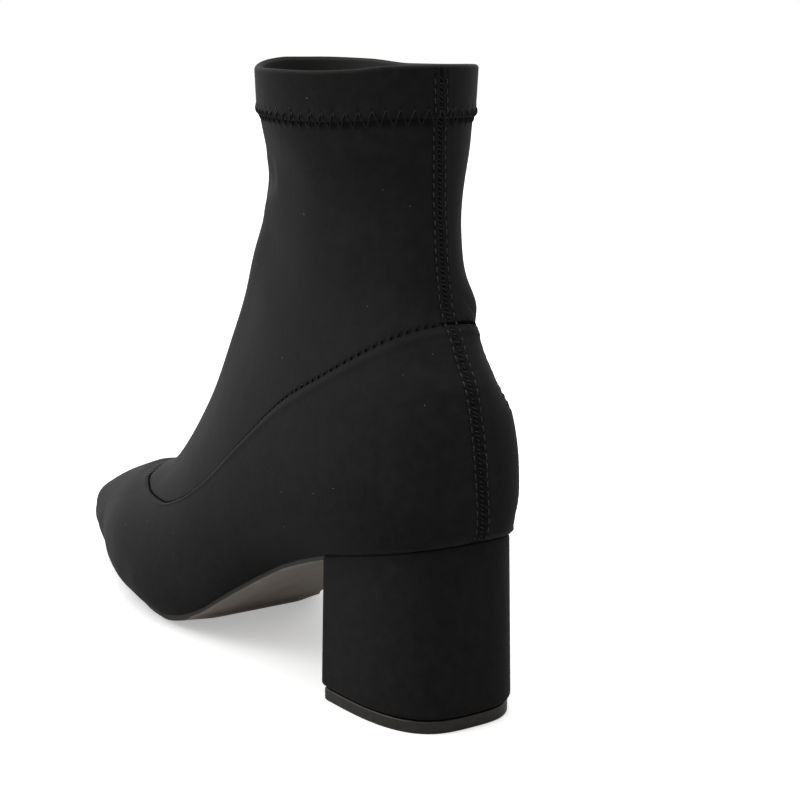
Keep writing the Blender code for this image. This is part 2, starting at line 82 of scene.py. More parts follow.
KEY_PLACE, KEY_TARGET = Vector((0.45, 1.00, 1.10)), Vector((0.08, 0.0, 0.13))
key_lamp = bpy.data.lights.new("key_light", "AREA")
key_lamp.size = 0.9
key_lamp.energy = 5.6
key_light = bpy.data.objects.new("key_light", key_lamp)
bpy.context.scene.collection.objects.link(key_light)
key_light.location = KEY_PLACE
key_light.rotation_euler = (KEY_TARGET - KEY_PLACE).to_track_quat("-Z", "Y").to_euler()
ceiling = bpy.data.lights.new("ceiling_light", "SUN")
ceiling.energy = 1.15
ceiling.angle = math.radians(70)
bpy.context.scene.collection.objects.link(bpy.data.objects.new("ceiling_light", ceiling))

floor_mesh = bpy.data.meshes.new("floor")
floor_mesh.from_pydata([(-6, -6, 0), (6, -6, 0), (6, 6, 0), (-6, 6, 0)], [], [(0, 1, 2, 3)])
floor = bpy.data.objects.new("floor", floor_mesh)
bpy.context.scene.collection.objects.link(floor)
floor_paint = bpy.data.materials.new("floor_paint")
floor_paint.use_nodes = True
floor_shader = floor_paint.node_tree.nodes["Principled BSDF"]
floor_seen = floor_paint.node_tree.nodes.new("ShaderNodeLightPath")
floor_white = floor_paint.node_tree.nodes.new("ShaderNodeMapRange")
floor_white.inputs["To Min"].default_value = 0.36
floor_white.inputs["To Max"].default_value = 0.94
floor_lift = floor_paint.node_tree.nodes.new("ShaderNodeMapRange")
floor_lift.inputs["To Max"].default_value = 0.38
for level, socket in ((floor_white, "Base Color"), (floor_lift, "Emission Color")):
    floor_paint.node_tree.links.new(floor_seen.outputs["Is Camera Ray"], level.inputs["Value"])
    floor_paint.node_tree.links.new(level.outputs["Result"], floor_shader.inputs[socket])
floor_shader.inputs["Emission Strength"].default_value = 1.0
floor_shader.inputs["Roughness"].default_value = 0.7
floor_shader.inputs["Specular IOR Level"].default_value = 0.2
floor_mesh.materials.append(floor_paint)

# Lines of the last, in millimetres, that the upper, the insole and the sole share.
# BACK is the counter's rearmost point, TOE the nose's foremost one and TIP the
# front end of the feather line
LENGTH, HEIGHT, BALL, INSTEP = 257.0, 190.0, 80.5, 96.0
HEEL_HIGH, BREAST_HIGH, HEEL_WIDE, HEEL_DEEP = 56.0, 45.5, 46.9, 44.5
SHAFT_WIDE, COLLAR_DEEP, ANKLE_INSET, LEAN = 60.5, 78.7, 25.0, 2.6
TOE_SPRING, TOE_HIGH, HEM_HIGH = 6.8, 16.5, 14.5
FEATHER, LEDGE, HEEL_ROUND = 3.7, 0.3, 3.2
COUNTER_BULGE, NOSE_AHEAD = 4.0, 3.4
HEEL_BACK, BREAST = -HEEL_DEEP / 2, HEEL_DEEP / 2
BACK = HEEL_BACK - COUNTER_BULGE
TOE = BACK + LENGTH
TIP = TOE - NOSE_AHEAD
FOREPART = TIP - BREAST
COLLAR_BACK = BACK + ANKLE_INSET
FINE = 1600

# Underside: share of the forepart, of the rise to the breast, of the toe spring
BOTTOM_LINE = (
    (0.000, 1.000, 0.00),
    (0.045, 0.928, 0.00),
    (0.120, 0.790, 0.00),
    (0.170, 0.665, 0.00),
    (0.225, 0.510, 0.00),
    (0.280, 0.345, 0.00),
    (0.335, 0.190, 0.00),
    (0.400, 0.060, 0.00),
    (0.460, 0.000, 0.00),
    (0.620, 0.000, 0.00),
    (0.810, 0.000, 0.26),
    (0.950, 0.000, 0.72),
    (1.000, 0.000, 1.00),
)
# Feather line: share of the forepart, outer and inner half width by the ball
PLAN_LINE = (
    (0.000, 0.300, 0.160),
    (0.133, 0.321, 0.172),
    (0.205, 0.347, 0.200),
    (0.277, 0.372, 0.222),
    (0.350, 0.385, 0.272),
    (0.420, 0.392, 0.372),
    (0.490, 0.388, 0.444),
    (0.565, 0.358, 0.470),
    (0.637, 0.312, 0.446),
    (0.733, 0.240, 0.360),
    (0.830, 0.165, 0.250),
    (0.915, 0.100, 0.154),
    (1.000, 0.048, 0.072),
)
# Back: share of the height over the seat, way forwards by the ankle's inset
BACK_LINE = (
    (0.020, 0.030),
    (0.055, 0.004),
    (0.108, 0.022),
    (0.165, 0.060),
    (0.220, 0.110),
    (0.277, 0.184),
    (0.330, 0.280),
    (0.373, 0.420),
    (0.418, 0.560),
    (0.455, 0.684),
    (0.490, 0.774),
    (0.550, 0.852),
    (0.640, 0.920),
    (0.760, 0.976),
    (0.880, 0.990),
    (1.000, 1.000),
)
# Front of the shaft: share of the height, of the collar's depth
SHAFT_FRONT = (
    (0.595, 1.264),
    (0.689, 1.178),
    (0.789, 1.108),
    (0.895, 1.058),
    (1.000, 1.000),
)
# Ridge of the vamp: share of the forepart, of the instep's height
VAMP_RIDGE = (
    (0.986, 0.2380),
    (0.940, 0.2890),
    (0.868, 0.3560),
    (0.730, 0.4600),
    (0.640, 0.5260),
    (0.550, 0.6300),
    (0.463, 0.8070),
    (0.405, 0.9850),
)
# Panel seam: share of the length, of the height
PANEL_SEAM = (
    (0.0690, 0.613),
    (0.1500, 0.540),
    (0.2300, 0.480),
    (0.3200, 0.395),
    (0.4200, 0.302),
    (0.4900, 0.252),
    (0.5600, 0.224),
    (0.6250, 0.220),
    (0.6850, 0.228),
    (0.7360, 0.240),
)
# Sections: turn in the fan, outer and inner half width by the shaft's or the
# ball's width, place of the widest point, roundness ahead of it and behind it
SHAFT_SECTIONS = (
    (0.076, 0.525, 0.530, 0.49, 2.00, 1.90),
    (0.151, 0.468, 0.478, 0.51, 2.00, 1.95),
    (0.224, 0.376, 0.350, 0.55, 2.00, 2.10),
    (0.295, 0.392, 0.322, 0.60, 1.95, 2.50),
)
FOOT_SECTIONS = (
    (0.349, 0.366, 0.300, 0.64, 1.90, 2.80),
    (0.401, 0.415, 0.332, 0.65, 1.80, 2.75),
    (0.475, 0.428, 0.352, 0.68, 1.80, 2.60),
    (0.544, 0.420, 0.362, 0.69, 1.80, 2.20),
    (0.609, 0.428, 0.400, 0.71, 1.80, 2.00),
    (0.690, 0.452, 0.500, 0.75, 1.80, 2.00),
    (0.764, 0.340, 0.470, 0.75, 1.80, 2.00),
    (0.835, 0.200, 0.280, 0.73, 1.80, 2.00),
    (0.902, 0.060, 0.080, 0.68, 1.90, 2.00),
)


def smooth(rows, column, at):
    """Smooth curve through the rows of a table, with no overshoot between them."""
    table = np.array(rows, dtype=float)
    if table[0, 0] > table[-1, 0]:
        table = table[::-1]
    along, value = table[:, 0], table[:, column]
    run = np.diff(along)
    slope = np.diff(value) / run
    tangent = np.concatenate((slope[:1], np.zeros(len(along) - 2), slope[-1:]))
    for i in range(1, len(along) - 1):
        before, after = slope[i - 1], slope[i]
        if before * after > 0:
            lead = 2 * run[i] + run[i - 1]
            trail = run[i] + 2 * run[i - 1]
            tangent[i] = (lead + trail) / (lead / before + trail / after)
    at = np.clip(at, along[0], along[-1])
    cell = np.clip(np.searchsorted(along, at, side="right") - 1, 0, len(run) - 1)
    t = (at - along[cell]) / run[cell]
    return (
        (2 * t**3 - 3 * t**2 + 1) * value[cell]
        + (t**3 - 2 * t**2 + t) * run[cell] * tangent[cell]
        + (3 * t**2 - 2 * t**3) * value[cell + 1]
        + (t**3 - t**2) * run[cell] * tangent[cell + 1]
    )


def ease(share):
    """Soft step from 0 to 1."""
    share = np.clip(share, 0.0, 1.0)
    return share * share * (3 - 2 * share)


def superellipse(share, power):
    """Height of a superellipse's quarter at a share of its run."""
    return (1 - np.clip(share, 0.0, 1.0) ** power) ** (1 / power)


def path(points):
    """Smooth line through side-view points."""
    points = np.array(points, dtype=float)
    share = np.concatenate(([0.0], np.cumsum(np.hypot(*np.diff(points, axis=0).T))))
    rows = np.column_stack((share / share[-1], points))
    even = np.linspace(0.0, 1.0, FINE)
    return np.column_stack((smooth(rows, 1, even), smooth(rows, 2, even)))


def along_path(line, share):
    """Points at shares of a line's own length."""
    length = np.concatenate(([0.0], np.cumsum(np.hypot(*np.diff(line, axis=0).T))))
    return np.column_stack([np.interp(share, length / length[-1], line[:, k]) for k in (0, 1)])


def bottom_height(x):
    """Seat, shank, tread and toe spring of the upper's underside."""
    share = (x - BREAST) / FOREPART
    rise = smooth(BOTTOM_LINE, 1, share) * (BREAST_HIGH - FEATHER)
    seat = HEEL_HIGH + (BREAST_HIGH - HEEL_HIGH) / HEEL_DEEP * (x - HEEL_BACK)
    return np.where(x < BREAST, seat, FEATHER + rise + smooth(BOTTOM_LINE, 2, share) * TOE_SPRING)


WAIST_RUN, TIP_ROUND_FROM = 0.30, 0.93


def bottom_outline(x, side):
    """Half width of the feather line, outer side (+1) or inner side (-1)."""
    share = (x - BREAST) / FOREPART
    ball = smooth(PLAN_LINE, 1 if side > 0 else 2, share) * BALL
    lead = 1 - ease(share / WAIST_RUN)
    forepart = lead * (HEEL_WIDE / 2 + LEDGE) + (1 - lead) * ball
    forepart = forepart * superellipse((share - TIP_ROUND_FROM) / (1 - TIP_ROUND_FROM), 2)
    heel = (HEEL_WIDE / 2 + LEDGE) * superellipse((BREAST - x) / (HEEL_DEEP + LEDGE), HEEL_ROUND)
    return np.where(x < BREAST, heel, forepart)


# Centre of the fan of sections, ahead of the ankle, by the length and the height
FAN_X, FAN_Z = 1.145, 1.130


def fan(x, z):
    """Turn and reach of a side-view point in the fan of sections."""
    ahead = FAN_X - (x - BACK) / LENGTH
    above = FAN_Z - z / HEIGHT
    return np.arctan2(above, ahead) / (math.pi / 2), np.hypot(above, ahead)


under = np.linspace(HEEL_BACK - LEDGE, TIP, FINE)
bottom_line = np.column_stack((under, bottom_height(under)))
leg = HEIGHT - HEEL_HIGH
back_points = [tuple(bottom_line[0])]
back_points += [(BACK + inset * ANKLE_INSET, HEEL_HIGH + up * leg) for up, inset in BACK_LINE]
back_line = path(back_points)
NOSE_LOW, NOSE_MID, NOSE_BACK = 0.30, 0.50, 1.8
nose = (TOE, FEATHER + TOE_SPRING + NOSE_LOW * TOE_HIGH)
front_points = [nose, (TOE - NOSE_BACK, FEATHER + TOE_SPRING + NOSE_MID * TOE_HIGH)]
front_points += [(BREAST + along * FOREPART, up * INSTEP) for along, up in VAMP_RIDGE]
front_points += [(COLLAR_BACK + deep * COLLAR_DEEP, up * HEIGHT) for up, deep in SHAFT_FRONT]
front_line = path(front_points)
rear = np.vstack((back_line[::-1], bottom_line[1:], np.array([nose])))
rear_turn, rear_reach = fan(rear[:, 0], rear[:, 1])
rear_order = np.argsort(rear_turn)
front_turn, front_reach = fan(front_line[:, 0], front_line[:, 1])
front_order = np.argsort(front_turn)
seat_turn = float(fan(*bottom_line[0])[0])
tip_turn = float(fan(*bottom_line[-1])[0])
nose_turn = float(fan(*nose)[0])
sections = []
for table, wide in ((SHAFT_SECTIONS, SHAFT_WIDE), (FOOT_SECTIONS, BALL)):
    sections += [(turn, outer * wide, inner * wide, *form) for turn, outer, inner, *form in table]
# Where the foot spreads over the feather line: turn and run of each change
VAMP_FROM, VAMP_RUN, VAMP_OVERHANG = 0.69, 0.05, 6.4
TOE_FROM, TOE_RUN, TOE_OVERHANG = 0.74, 0.12, 3.0
NOSE_FROM, NOSE_ROUND, TUCK = 0.86, 2.2, 0.90


def half_width(x, z, side):
    """Distance of the upper's surface from the middle plane, on one side."""
    turn, reach = fan(x, z)
    front = np.interp(turn, front_turn[front_order], front_reach[front_order])
    behind = np.interp(turn, rear_turn[rear_order], rear_reach[rear_order])
    share = np.clip((reach - front) / np.maximum(behind - front, 1e-6), 0.0, 1.0)
    rear_x = np.interp(turn, rear_turn[rear_order], rear[rear_order, 0])
    on_bottom = (turn > seat_turn) & (turn < tip_turn)
    edge = np.where(on_bottom, bottom_outline(rear_x, side), 0.0)
    width = smooth(sections, 1 if side > 0 else 2, turn)
    widest = smooth(sections, 3, turn)
    front_power = smooth(sections, 4, turn)
    rear_power = smooth(sections, 5, turn)
    close = superellipse((turn - NOSE_FROM) / (nose_turn - NOSE_FROM), NOSE_ROUND)
    vamp = ease((turn - VAMP_FROM) / VAMP_RUN)
    toe = ease((turn - TOE_FROM) / TOE_RUN)
    overhang = (1 - toe) * VAMP_OVERHANG + toe * TOE_OVERHANG
    width = (1 - vamp) * width + vamp * (edge + overhang * close)
    edge = np.minimum(edge, width)
    ahead = width * superellipse((widest - share) / widest, front_power)
    tuck = np.where(on_bottom, TUCK, 1.0)
    bulge = superellipse((share - widest) / (1 - widest) * tuck, rear_power)
    least = superellipse(tuck, rear_power)
    rest = edge + (width - edge) * (bulge - least) / (1 - least)
    return np.where(share < widest, ahead, rest)


def lean(z):
    """Sideways set of the middle plane, which leans inwards up the shaft."""
    return -LEAN * ease((z - HEEL_HIGH) / (HEIGHT - HEEL_HIGH))


def nearest(line, point):
    """Point of a line nearest to the given one."""
    return line[int(np.argmin(np.hypot(*(line - np.array(point)).T)))]


def split(line, point):
    """Cut a line at its nearest point, which moves onto the given point."""
    place = int(np.argmin(np.hypot(*(line - point).T)))
    return np.vstack((line[:place], point)), np.vstack((point, line[place + 1 :]))


def patch(lower, upper, back, front, rows):
    """Side-view grid between four lines, from lower to upper and back to front."""
    low, high = along_path(lower, SHARES), along_path(upper, SHARES)
    rise = np.linspace(0.0, 1.0, rows + 1)
    rear_edge, fore_edge = along_path(back, rise), along_path(front, rise)
    u, t = rise[:, None, None], SHARES[None, :, None]
    ruled = (1 - u) * low[None] + u * high[None]
    across = (1 - t) * rear_edge[:, None] + t * fore_edge[:, None]
    corners = (1 - u) * (1 - t) * low[0] + (1 - u) * t * low[-1]
    corners = corners + u * (1 - t) * high[0] + u * t * high[-1]
    return ruled + across - corners


# Upper: the skin of the lasted sock, from which every fabric piece is cut. Its rows
# go from the feather line up to the collar, its columns from the back seam round
# the outer side, the front and the inner side
HALF_COLUMNS = 300
COLUMNS = 2 * HALF_COLUMNS
FOOT_ROWS, SHAFT_ROWS, HEM_ROWS = 120, 150, 26
SHARES = (1 - np.cos(np.linspace(0.0, math.pi, HALF_COLUMNS + 1))) / 2
seam_points = [(BACK + along * LENGTH, up * HEIGHT) for along, up in PANEL_SEAM]
seam_points[0] = tuple(nearest(back_line, seam_points[0]))
seam_points[-1] = tuple(nearest(front_line, seam_points[-1]))
seam_side = path(seam_points)
hem_back = nearest(back_line, (COLLAR_BACK, HEIGHT - HEM_HIGH))
hem_front = nearest(front_line, (COLLAR_BACK + COLLAR_DEEP, HEIGHT - HEM_HIGH))
hem_side = np.linspace(hem_back, hem_front, 12)
collar_side = np.linspace(back_line[-1], front_line[-1], 12)
back_foot, back_rest = split(back_line, seam_side[0])
back_shaft, back_hem = split(back_rest, hem_side[0])
front_foot, front_rest = split(np.vstack((bottom_line[-1], front_line)), seam_side[-1])
front_shaft, front_hem = split(front_rest, hem_side[-1])
foot_side = patch(bottom_line, seam_side, back_foot, front_foot, FOOT_ROWS)
shaft_side = patch(seam_side, hem_side, back_shaft, front_shaft, SHAFT_ROWS)
hem_rows_side = patch(hem_side, collar_side, back_hem, front_hem, HEM_ROWS)
side_grid = np.concatenate((foot_side[:-1], shaft_side[:-1], hem_rows_side))
SEAM_ROW, HEM_ROW = FOOT_ROWS, FOOT_ROWS + SHAFT_ROWS
TOP_ROW = HEM_ROW + HEM_ROWS
grid_x, grid_z = side_grid[..., 0], side_grid[..., 1]
outline = np.vstack((bottom_line[::8], front_line[::8], back_line[::8]))
room = np.full(grid_x.shape, 99.0)
for edge_x, edge_z in outline:
    room = np.minimum(room, np.hypot(grid_x - edge_x, grid_z - edge_z))


SOFT_REACH, SOFT_TOP, SOFT_RUN = 10.0, 110.0, 40.0


def soft_width(side):
    """Half width over the grid, averaged in a disc that closes up at the outline."""
    reach = np.minimum(SOFT_REACH, 0.8 * room) * (1 - ease((grid_z - SOFT_TOP) / SOFT_RUN))
    total = np.zeros(grid_x.shape)
    for turn in np.linspace(0, 2 * math.pi, 10, endpoint=False):
        for share in (0.45, 0.95):
            shift_x, shift_z = share * reach * math.cos(turn), share * reach * math.sin(turn)
            total += half_width(grid_x + shift_x, grid_z + shift_z, side)
    return total / 20


outer_width = soft_width(1)
inner_width = soft_width(-1)
outer_width[0], inner_width[0] = (bottom_outline(grid_x[0], side) for side in (1, -1))
# The heel cup swells out over the seat in one round curve, as high as the skirt
SKIRT, SKIRT_FROM, SKIRT_RUN = 12.0, 12.0, 26.0
side_step = np.linalg.norm(np.diff(side_grid, axis=0), axis=-1)
side_climb = np.concatenate((np.zeros((1, HALF_COLUMNS + 1)), np.cumsum(side_step, axis=0)))
for width in (outer_width, inner_width):
    for column in range(HALF_COLUMNS + 1):
        up = np.clip(side_climb[:, column] / SKIRT, 0.0, 1.0)
        full = float(np.interp(SKIRT, side_climb[:, column], width[:, column]))
        swell = width[0, column] + (full - width[0, column]) * np.sin(up * math.pi / 2) ** 1.15
        share = (1 - ease(up)) * (1 - ease((grid_x[0, column] - SKIRT_FROM) / SKIRT_RUN))
        width[:, column] = share * swell + (1 - share) * width[:, column]
    width[:, 0] = 0.0
    width[:, -1] = 0.0
middle = lean(grid_z)
skin = np.concatenate(
    (
        np.stack((grid_x, middle + outer_width, grid_z), -1),
        np.stack((grid_x, middle - inner_width, grid_z), -1)[:, -2:0:-1],
    ),
    axis=1,
)


def unit(ways):
    """Directions brought to a length of one."""
    return ways / np.maximum(np.linalg.norm(ways, axis=-1, keepdims=True), 1e-9)


def grid_normals(points):
    """Normals of a closed skin grid, all on the same side of it."""
    down = np.gradient(points, axis=0)
    wrapped = np.concatenate((points[:, -1:], points, points[:, :1]), axis=1)
    round_ring = (wrapped[:, 2:] - wrapped[:, :-2]) / 2
    return unit(np.cross(down, round_ring))


def rounded(points, way, curve):
    """Normals averaged over a length of each ring, so that no ridge folds over itself."""
    gaps = np.linalg.norm(np.roll(points, -1, axis=1) - points, axis=-1)
    steps = 720
    result = np.empty(way.shape)
    for row in range(len(points)):
        run = np.concatenate(([0.0], np.cumsum(gaps[row])))
        even = np.arange(steps) * run[-1] / steps
        reach = max(1, int(curve / run[-1] * steps))
        box = np.ones(2 * reach + 1) / (2 * reach + 1)
        for k in range(3):
            line = np.interp(even, run[:-1], way[row, :, k], period=run[-1])
            for _ in range(2):
                wrapped = np.concatenate((line[-reach:], line, line[:reach]))
                line = np.convolve(wrapped, box, mode="valid")
            result[row, :, k] = np.interp(run[:-1], even, line, period=run[-1])
    return unit(result)


# Rise of the collar's slack edge: degrees round it from the front, by the outer
# side, and height
COLLAR_MIDDLE = (COLLAR_BACK + COLLAR_DEEP / 2, -LEAN)
COLLAR_WAVE = (
    (-180, 0.2),
    (-120, 0.2),
    (-90, 0.1),
    (-60, 0.3),
    (-35, 1.9),
    (-10, 2.6),
    (5, 2.6),
    (20, 1.8),
    (34, 0.6),
    (50, -0.6),
    (80, -1.1),
    (118, -1.6),
    (140, -1.2),
    (158, -0.1),
    (180, 0.2),
)


def fold(rows, width, height):
    """Height of a soft ridge, or of a trough if negative, over the whole skin."""
    x, z, side, strength = np.array(rows, dtype=float).T
    half = np.where(side >= 0, half_width(x, z, 1), half_width(x, z, -1))
    knots = np.column_stack((x, lean(z) + side * half, z))
    steps = np.linalg.norm(np.diff(knots, axis=0), axis=1)
    run = np.concatenate(([0.0], np.cumsum(steps)))
    table = np.column_stack((run, knots, strength))
    even = np.linspace(0.0, run[-1], max(8, int(run[-1] / (0.2 * width))))
    line = np.column_stack([smooth(table, k, even) for k in (1, 2, 3, 4)])
    best = np.full(skin.shape[:2], 1e9)
    share = np.zeros(skin.shape[:2])
    for px, py, pz, strong in line:
        gap = (skin[..., 0] - px) ** 2 + (skin[..., 1] - py) ** 2 + (skin[..., 2] - pz) ** 2
        share = np.where(gap < best, strong, share)
        best = np.minimum(gap, best)
    return height * share * np.exp(-best / width**2)


# Folds of the stretch fabric: width, height and line of each one.
# A line's points are x, z, side (1 outer, -1 inner, 0 the middle) and strength
FOLDS = (
    # Bulge and pinch at the back of the ankle, on the inner side
    (7.0, 1.9, ((-5, 119, -1, 0.8), (0, 121, -1, 1.2), (14, 122, -1, 0.8), (30, 118, -1, 0.0))),
    (4.0, -1.1, ((-7, 115, -1, 0.2), (-3, 113.5, -1, 1.0), (8, 112.5, -1, 0.4), (16, 112, -1, 0.0))),
    (11.0, -1.4, ((-4, 112, -1, 0.6), (-8, 106, -1, 1.0), (-11, 100, -1, 0.9), (-13, 90, -1, 0.0))),
    # Full edge of the heel cup, on the inner side
    (
        9.0,
        1.1,
        (
            (-10, 100, -1, 0.3),
            (-14, 92, -1, 0.9),
            (-19, 82, -1, 1.0),
            (-21, 72, -1, 0.6),
            (-21, 62, -1, 0.0),
        ),
    ),
    # Slack and pinch at the front of the ankle, on the outer side
    (7.0, 0.8, ((63, 178, 1, 0.3), (67, 169, 1, 1.0), (71, 163, 1, 0.6), (74, 158, 1, 0.0))),
    (4.5, -1.2, ((56, 157, 1, 0.0), (64, 155, 1, 1.0), (72, 153, 1, 1.0), (80, 150, 1, 0.0))),
    # Pull down the front, from the ankle to the throat
    (
        9.0,
        1.1,
        (
            (66, 147, 1, 0.3),
            (74, 134, 1, 1.0),
            (80, 118, 1, 1.0),
            (90, 99, 1, 1.0),
            (103, 81, 1, 1.0),
            (122, 64, 1, 0.8),
            (140, 55, 1, 0.0),
        ),
    ),
    # Break at the throat, where the sock meets the foot panel, and the toe's side
    (5.0, -1.3, ((146, 51, 1, 0.3), (154, 50, 0, 1.0), (146, 51, -1, 0.3))),
    (7.0, 0.9, ((212, 17.5, 1, 0.2), (201, 16, 1, 1.0), (188, 16, 1, 0.0))),
    (8.0, -0.7, ((170, 17, 1, 0.0), (155, 17, 1, 1.0), (141, 14, 1, 1.0), (128, 12, 1, 0.0))),
    (6.0, -1.3, ((138, 56, 1, 0.6), (146, 54, 0, 1.0), (138, 56, -1, 0.6))),
    (
        4.5,
        -1.8,
        (
            (148, 48, 1, 0.0),
            (157, 45.5, 1, 0.5),
            (166, 46, 0, 1.0),
            (157, 45.5, -1, 0.5),
            (148, 48, -1, 0.0),
        ),
    ),
    # Slack across the shaft, on the inner side
    (9.0, 0.9, ((20, 160, -1, 0.0), (34, 146, -1, 1.0), (52, 128, -1, 1.0), (66, 112, -1, 0.0))),
    (8.0, -0.8, ((12, 150, -1, 0.0), (26, 136, -1, 1.0), (44, 118, -1, 0.9), (58, 102, -1, 0.0))),
    # Soft dents and swells in the shaft, on the outer side
    (7.0, 0.35, ((8, 143, 1, 0.0), (14, 139, 1, 1.0), (20, 136, 1, 0.0))),
    (10.0, 0.5, ((30, 170, 1, 0.0), (31, 150, 1, 1.0), (33, 128, 1, 0.7), (38, 112, 1, 0.0))),
    (8.0, -0.4, ((8, 165, 1, 0.0), (6, 148, 1, 1.0), (6, 130, 1, 1.0), (10, 116, 1, 0.0))),
)
COLLAR_RISE_FROM, COLLAR_RISE_RUN = 140.0, 50.0
FOLD_CURVE, SEAM_CURVE, LINING_CURVE = 4.0, 1.6, 5.0
raw_normals = grid_normals(skin)
facing_out = np.sign(np.sum(raw_normals[..., 1] * (skin[..., 1] - lean(skin[..., 2]))))
normals = rounded(skin, facing_out * raw_normals, FOLD_CURVE)
relief = sum(fold(line, width, height) for width, height, line in FOLDS)
collar_y, collar_x = skin[..., 1] - COLLAR_MIDDLE[1], skin[..., 0] - COLLAR_MIDDLE[0]
turn_round = np.degrees(np.arctan2(collar_y, collar_x))
collar_rise = smooth(COLLAR_WAVE, 1, turn_round)
collar_rise = collar_rise * ease((skin[..., 2] - COLLAR_RISE_FROM) / COLLAR_RISE_RUN)
skin = skin + relief[..., None] * normals
skin[..., 2] += collar_rise
normals = rounded(skin, facing_out * grid_normals(skin), SEAM_CURVE)
wide_normals = rounded(skin, normals, LINING_CURVE)


# Seams in the skin, as heights over it. Distances run along its rows and columns
def bell(distance, half, power=2):
    """Soft hump of height one along a line, flatter on top with a higher power."""
    return np.exp(-((distance / half) ** power))


ring_gap = np.linalg.norm(np.roll(skin, -1, axis=1) - skin, axis=-1)
ring_run = np.concatenate((np.zeros((len(skin), 1)), np.cumsum(ring_gap, axis=1)), axis=1)
ring_length = ring_run[:, -1]
from_back = np.minimum(ring_run[:, :-1], ring_length[:, None] - ring_run[:, :-1])
row_gap = np.linalg.norm(np.diff(skin, axis=0), axis=-1)
climb = np.concatenate((np.zeros((1, COLUMNS)), np.cumsum(row_gap, axis=0)))
from_panel_seam = climb - climb[SEAM_ROW]
from_hem_seam = climb - climb[HEM_ROW]
PANEL_LEVEL, SOCK_LEVEL, HEM_LEVEL = 0.0, -0.6, 0.2

# Back seam: two edges butted over a tape, with a column of stitches each side
BACK_COLUMN_GAP, BACK_PITCH = 2.05, 2.65
TAPE_HIGH, TAPE_HALF = 0.22, 3.2
SLIT_DEEP, SLIT_HALF, SLIT_SHADE_HALF = 0.55, 0.45, 0.75
PULL_DEEP, PULL_HALF, PULL_SHADE_HALF = 0.30, 0.55, 0.65
from_column = from_back - BACK_COLUMN_GAP
back_step = climb / BACK_PITCH
back_pull = bell(from_column, PULL_HALF) * (0.35 + 0.65 * np.cos(math.pi * back_step) ** 6)
seam_relief = TAPE_HIGH * bell(from_back, TAPE_HALF, 6) - SLIT_DEEP * bell(from_back, SLIT_HALF)
seam_relief -= PULL_DEEP * back_pull

# Hem: its edge is held by a zigzag, and the cloth is gathered between the legs
HEM_PITCH, HEM_REACH = 4.0, 2.4
HEM_PAD_HIGH, HEM_PAD_HALF = 0.15, 3.2
GATHER_DEEP, GATHER_DOWN, GATHER_HALF, LEG_HALF = 0.30, 1.2, 1.5, 1.5
NEEDLE_DEEP, NEEDLE_HALF = 0.40, 0.6
hem_count = round(float(ring_length[HEM_ROW]) / HEM_PITCH)
ring_share = ring_run[:, :-1] / ring_length[:, None]
hem_wave = 2 * np.abs((ring_share * hem_count) % 1.0 - 0.5)
hem_leg = (2 * hem_wave - 1) * HEM_REACH
hem_hollow = 1 - bell(from_hem_seam - hem_leg, LEG_HALF)
hem_hollow = hem_hollow * bell(from_hem_seam + GATHER_DOWN, GATHER_HALF, 4)
hem_hole = bell(from_hem_seam - HEM_REACH, NEEDLE_HALF) * np.clip(6 * hem_wave - 5, 0, 1)
seam_relief += HEM_PAD_HIGH * bell(from_hem_seam, HEM_PAD_HALF, 4)
seam_relief -= GATHER_DEEP * hem_hollow + NEEDLE_DEEP * hem_hole

# Panel seam: the foot panel laps over the sock panel and puckers at the stitches.
# The dip along the lap is deepest on both sides of the vamp's ridge
PANEL_PITCH, PANEL_SLANT = 2.7, 0.22
PUCKER_DEEP, PUCKER_UP, PUCKER_HALF = 0.30, 0.6, 1.2
DIP_DEEP, DIP_AT_RIDGE, DIP_HALF = 0.10, 0.90, 1.5
LAP_PAD_HIGH, LAP_PAD_DOWN, LAP_PAD_HALF = 0.20, 1.9, 1.3
LAP_SHADE_UP, LAP_SHADE_HALF = 0.2, 0.5
RIDGE_FAR, RIDGE_FADE, RIDGE_NEAR, RIDGE_RISE = 22.0, 16.0, 1.0, 4.0
PLAIN_FRONT, PLAIN_RUN = 2.0, 3.0
panel_step = ring_run[:, :-1] / PANEL_PITCH + PANEL_SLANT * from_panel_seam
panel_pull = bell(from_panel_seam - PUCKER_UP, PUCKER_HALF, 4)
panel_pull = panel_pull * np.cos(math.pi * panel_step) ** 6
from_front = np.abs(ring_run[:, :-1] - ring_run[:, [HALF_COLUMNS]])
at_ridge = ease((RIDGE_FAR - from_front) / RIDGE_FADE)
at_ridge = at_ridge * ease((from_front - RIDGE_NEAR) / RIDGE_RISE)
off_ridge = ease((from_front - PLAIN_FRONT) / PLAIN_RUN)
dip = (DIP_DEEP + DIP_AT_RIDGE * at_ridge) * bell(from_panel_seam, DIP_HALF)
seam_relief -= (PUCKER_DEEP * panel_pull + dip) * off_ridge
seam_relief += LAP_PAD_HIGH * bell(from_panel_seam + LAP_PAD_DOWN, LAP_PAD_HALF)
surface = skin + seam_relief[..., None] * normals

# Shade painted into the fabric's colour in the needle holes and gathers, from 0 to 1 over the skin
hollow = np.zeros(skin.shape[:2])
for shade_field, darkness in (
    (hem_hollow, 0.60),
    (hem_hole, 0.90),
    (bell(from_column, PULL_SHADE_HALF) * np.sin(math.pi * back_step) ** 2, 0.90),
    (bell(from_back, SLIT_SHADE_HALF), 0.95),
    (panel_pull, 0.85),
    (bell(from_panel_seam - LAP_SHADE_UP, LAP_SHADE_HALF), 0.30),
):
    hollow = np.maximum(hollow, darkness * shade_field)


def lay(rows, level):
    """Points of the skin's rows, raised to a level."""
    return surface[rows] + level * normals[rows]


def row_above(row, up, column):
    """Row of the skin at a distance above another one, along a column."""
    return float(np.interp(climb[row, column] + up, climb[:, column], np.arange(len(skin))))


